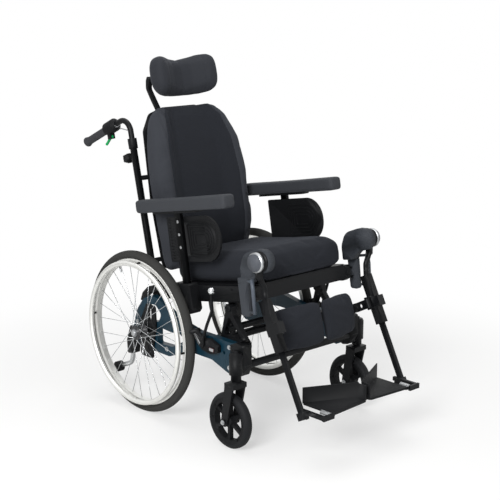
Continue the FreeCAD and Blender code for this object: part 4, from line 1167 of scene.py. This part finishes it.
@dataclass
class Wheels:
    """Rear wheel with its handrim, spokes and hub, and the caster before it.

    Nipple and valve are given by where they start, radius, length and number of sides.
    """

    side: Side
    nipples: int = 28
    nipple: tuple[float, float, float, int] = (262, 2.2, 11, 8)
    valve: tuple[float, float, float, int] = (234, 3.2, 38, 12)
    middle: float = 300.0
    valve_turn: float = 62.0
    tread: float = 84.0

    def build(self) -> None:
        """Dress the wheels' nodes and add their small parts."""
        word = self.side.word
        refine(
            f"handrim_{word}", HANDRIM, "rim_aluminium", [Rule(NYLON, lambda at: abs(at.x) < 326)],
        )
        refine(
            f"wheel_spokes_{word}", SPOKE_STEEL, "bright_steel", [Rule(HUB, near(REAR_AXLE, 34))],
        )
        wheel = near(CASTER_AXLE, self.tread)
        refine(
            f"caster_wheel_{word}", NYLON, "tyre_rubber",
            [Rule(CASTER_TYRE, lambda at: not wheel(at))],
        )
        self.spoke_nipples()
        self.hub_button()
        self.caster_bolts()

    def spoke_nipples(self) -> None:
        """Spoke nipples at the rim and the tyre's valve."""
        bm = bmesh.new()
        centre = Vector((self.side.sign * self.middle, *REAR_AXLE))
        nipples = [(360 * (step + 0.5) / self.nipples, self.nipple) for step in range(self.nipples)]
        for degrees, (start, *size) in (*nipples, (self.valve_turn, self.valve)):
            turn = math.radians(degrees)
            way = Vector((0, math.cos(turn), math.sin(turn)))
            bolt(bm, centre + way * start, way, *size)
        word = self.side.word
        hardware(bm, f"spoke_nipples_{word}", CHAIR, f"rear_wheel_{word}", ZINC)

    def hub_button(self) -> None:
        """Turned hub cap with the button of the quick-release axle."""
        bm = bmesh.new()
        word, sign = self.side.word, self.side.sign
        face = max(abs(corner[0]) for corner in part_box(f"wheel_spokes_{word}")) / MM
        out = Vector((sign, 0, 0))
        bolt(bm, Vector((sign * (face - 0.2), *REAR_AXLE)), out, 15, 2.5, 32)
        bolt(bm, Vector((sign * (face + 2.2), *REAR_AXLE)), out, 7.5, 4, 24, index=1)
        hardware(bm, f"hub_button_{word}", CHAIR, f"rear_wheel_{word}", CAST, CHROME)

    def caster_bolts(self) -> None:
        """Washers and nuts on both ends of the caster's axle."""
        bm = bmesh.new()
        word = self.side.word
        low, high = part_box(f"caster_fork_{word}")
        for face, way in ((low[0] / MM, -1), (high[0] / MM, 1)):
            at = Vector((face, *CASTER_AXLE))
            nut_on_washer(bm, at, Vector((way, 0, 0)), 9, 1.6, 6.5)
        hardware(bm, f"caster_bolts_{word}", CHAIR, f"caster_fork_{word}", ZINC)


def dress_fittings(word: str) -> None:
    """Dress the nodes of one side that carry several finishes: grip, brake, tipper and legrest.

    Args:
        word: The side's name in node names.
    """
    refine(
        f"push_grip_{word}", GRIP, "grip_rubber",
        [Rule(ZINC, lambda at: at.y < 76), Rule(NYLON, lambda at: at.y < 152)], BACK,
    )
    refine(
        f"brake_lever_{word}", BLACK_COAT, "black_paint",
        [Rule(CHROME, lambda at: at.z > 519), Rule(ZINC, lambda at: at.y > -62 and at.z < 365)],
    )
    refine(
        f"anti_tipper_{word}", ZINC, "bright_steel", [Rule(NYLON, lambda at: at.y > 425)],
    )
    refine(
        f"leg_hanger_{word}", HANGER, "black_paint",
        [Rule(BLUE_STRUT, lambda at: abs(at.x) > 278.5 and at.y < -180 and at.z < 104)], SEAT,
    )
    cap, ring = near(KNEE, 30), near(KNEE, 34.5)
    refine(
        f"leg_upper_{word}", BLACK_COAT, "black_paint",
        [Rule(GREY_CAP, lambda at: abs(at.x) > 291.2 and cap(at)),
         Rule(ZINC, lambda at: 281.9 < abs(at.x) < 291.2 and ring(at))],
    )
    refine(
        f"footplate_{word}", NYLON, "black_plastic", [Rule(ZINC, lambda at: abs(at.x) > 189)],
    )
    refine(
        f"calf_pad_{word}", BLACK_COAT, None, keep=lambda at: abs(at.x) > 198 or at.y > -300,
    )


# Studio


@dataclass
class Studio:
    """Camera, soft lamps, pale floor and white surroundings."""

    azimuth: float = -42.87
    elevation: float = 12.92
    distance: float = 4.242
    target: tuple[float, float, float] = (0.0, -OUTLINE_CENTRE_Y, 0.61467)
    lens: float = 83.4
    ambient: float = 0.32
    paper: str = "#f4f4f3"
    fade: tuple[float, float] = (0.8, 1.9)

    def camera(self) -> None:
        """Place the camera at the photograph's viewing angle."""
        data = bpy.data.cameras.new("camera")
        data.lens = self.lens
        data.sensor_width = 36.0
        data.clip_end = 200.0
        a = math.radians(self.azimuth)
        e = math.radians(self.elevation)
        back = Vector((math.sin(a) * math.cos(e), -math.cos(a) * math.cos(e), math.sin(e)))
        camera = bpy.data.objects.new("camera", data)
        camera.location = Vector(self.target) + back * self.distance
        camera.rotation_euler = (-back).to_track_quat("-Z", "Y").to_euler()
        bpy.context.scene.collection.objects.link(camera)
        bpy.context.scene.camera = camera

    def lamp(self, name: str, at: Vector, size: float, watts: float) -> None:
        """Hang one square soft box that faces the chair."""
        data = bpy.data.lights.new(name, "AREA")
        data.shape = "SQUARE"
        data.size = size
        data.energy = watts
        lamp = bpy.data.objects.new(name, data)
        lamp.location = at
        lamp.rotation_euler = (Vector((0, 0, 0.6)) - at).to_track_quat("-Z", "Y").to_euler()
        bpy.context.scene.collection.objects.link(lamp)

    def surroundings(self) -> None:
        """White to the eye and in reflections, a softer level as light."""
        world = bpy.data.worlds.new("studio")
        bpy.context.scene.world = world
        tree = blank_tree(world)
        path = add_node(tree, "ShaderNodeLightPath")
        seen = path.outputs["Is Camera Ray"]
        for ray in ("Is Transmission Ray", "Is Glossy Ray"):
            seen = combine(tree, "MAXIMUM", seen, path.outputs[ray])
        light, white = [
            add_node(tree, "ShaderNodeBackground", values={"Color": WHITE, "Strength": strength})
            for strength in (self.ambient, 1.0)
        ]
        mixed = add_node(
            tree, "ShaderNodeMixShader",
            links={0: seen, 1: light.outputs[0], 2: white.outputs[0]},
        )
        add_node(tree, "ShaderNodeOutputWorld", links={"Surface": mixed.outputs[0]})

    def floor(self) -> None:
        """Pale floor that keeps the shadow near the chair and fades to white beyond it."""
        bm = bmesh.new()
        bmesh.ops.create_grid(bm, x_segments=1, y_segments=1, size=60.0)
        floor = link_mesh(bm, "floor", PAD_ANGLE)
        paper = bpy.data.materials.new("studio_paper")
        tree = blank_tree(paper)
        place = add_node(tree, "ShaderNodeTexCoord").outputs["Object"]
        away = add_node(tree, "ShaderNodeVectorMath", {"operation": "LENGTH"}, links={0: place})
        near_edge, far_edge = self.fade
        fade = add_node(
            tree, "ShaderNodeMapRange", {"interpolation_type": "SMOOTHSTEP"},
            {"From Min": near_edge, "From Max": far_edge, "To Min": 0.5, "To Max": 1.0},
            {"Value": away.outputs["Value"]},
        )
        path = add_node(tree, "ShaderNodeLightPath")
        seen = combine(tree, "MULTIPLY", path.outputs["Is Camera Ray"], fade.outputs["Result"])
        matt = add_node(tree, "ShaderNodeBsdfDiffuse", values={"Color": linear(self.paper)})
        white = add_node(tree, "ShaderNodeEmission", values={"Color": WHITE, "Strength": 1.0})
        mixed = add_node(
            tree, "ShaderNodeMixShader", links={0: seen, 1: matt.outputs[0], 2: white.outputs[0]},
        )
        add_node(tree, "ShaderNodeOutputMaterial", links={"Surface": mixed.outputs[0]})
        floor.data.materials.append(paper)

    def build(self) -> None:
        """Set up the whole studio."""
        self.camera()
        self.surroundings()
        self.lamp("key", Vector((-3.6, -1.9, 2.6)), 1.8, 190.0)
        self.lamp("fill", Vector((2.6, -3.2, 2.0)), 2.6, 28.0)
        self.lamp("top", Vector((0.2, 0.4, 4.0)), 3.0, 60.0)
        self.floor()
        bpy.context.scene.view_settings.view_transform = "Standard"


def main() -> None:
    """Build the studio and every sub-assembly."""
    Studio().build()
    for node, finish, slot in SINGLE_NODES:
        refine(node, finish, slot)
    for side in Side:
        for node, finish, slot in SIDE_NODES:
            refine(f"{node}_{side.word}", finish, slot)
        SmallParts(side).build()
        Wheels(side).build()
        dress_fittings(side.word)
        ArmPad(side).build()
        CalfPad(side).build()
    Headrest().build()
    SeatCushion().build()
    BackCushion().build()


if __name__ == "__main__":
    main()
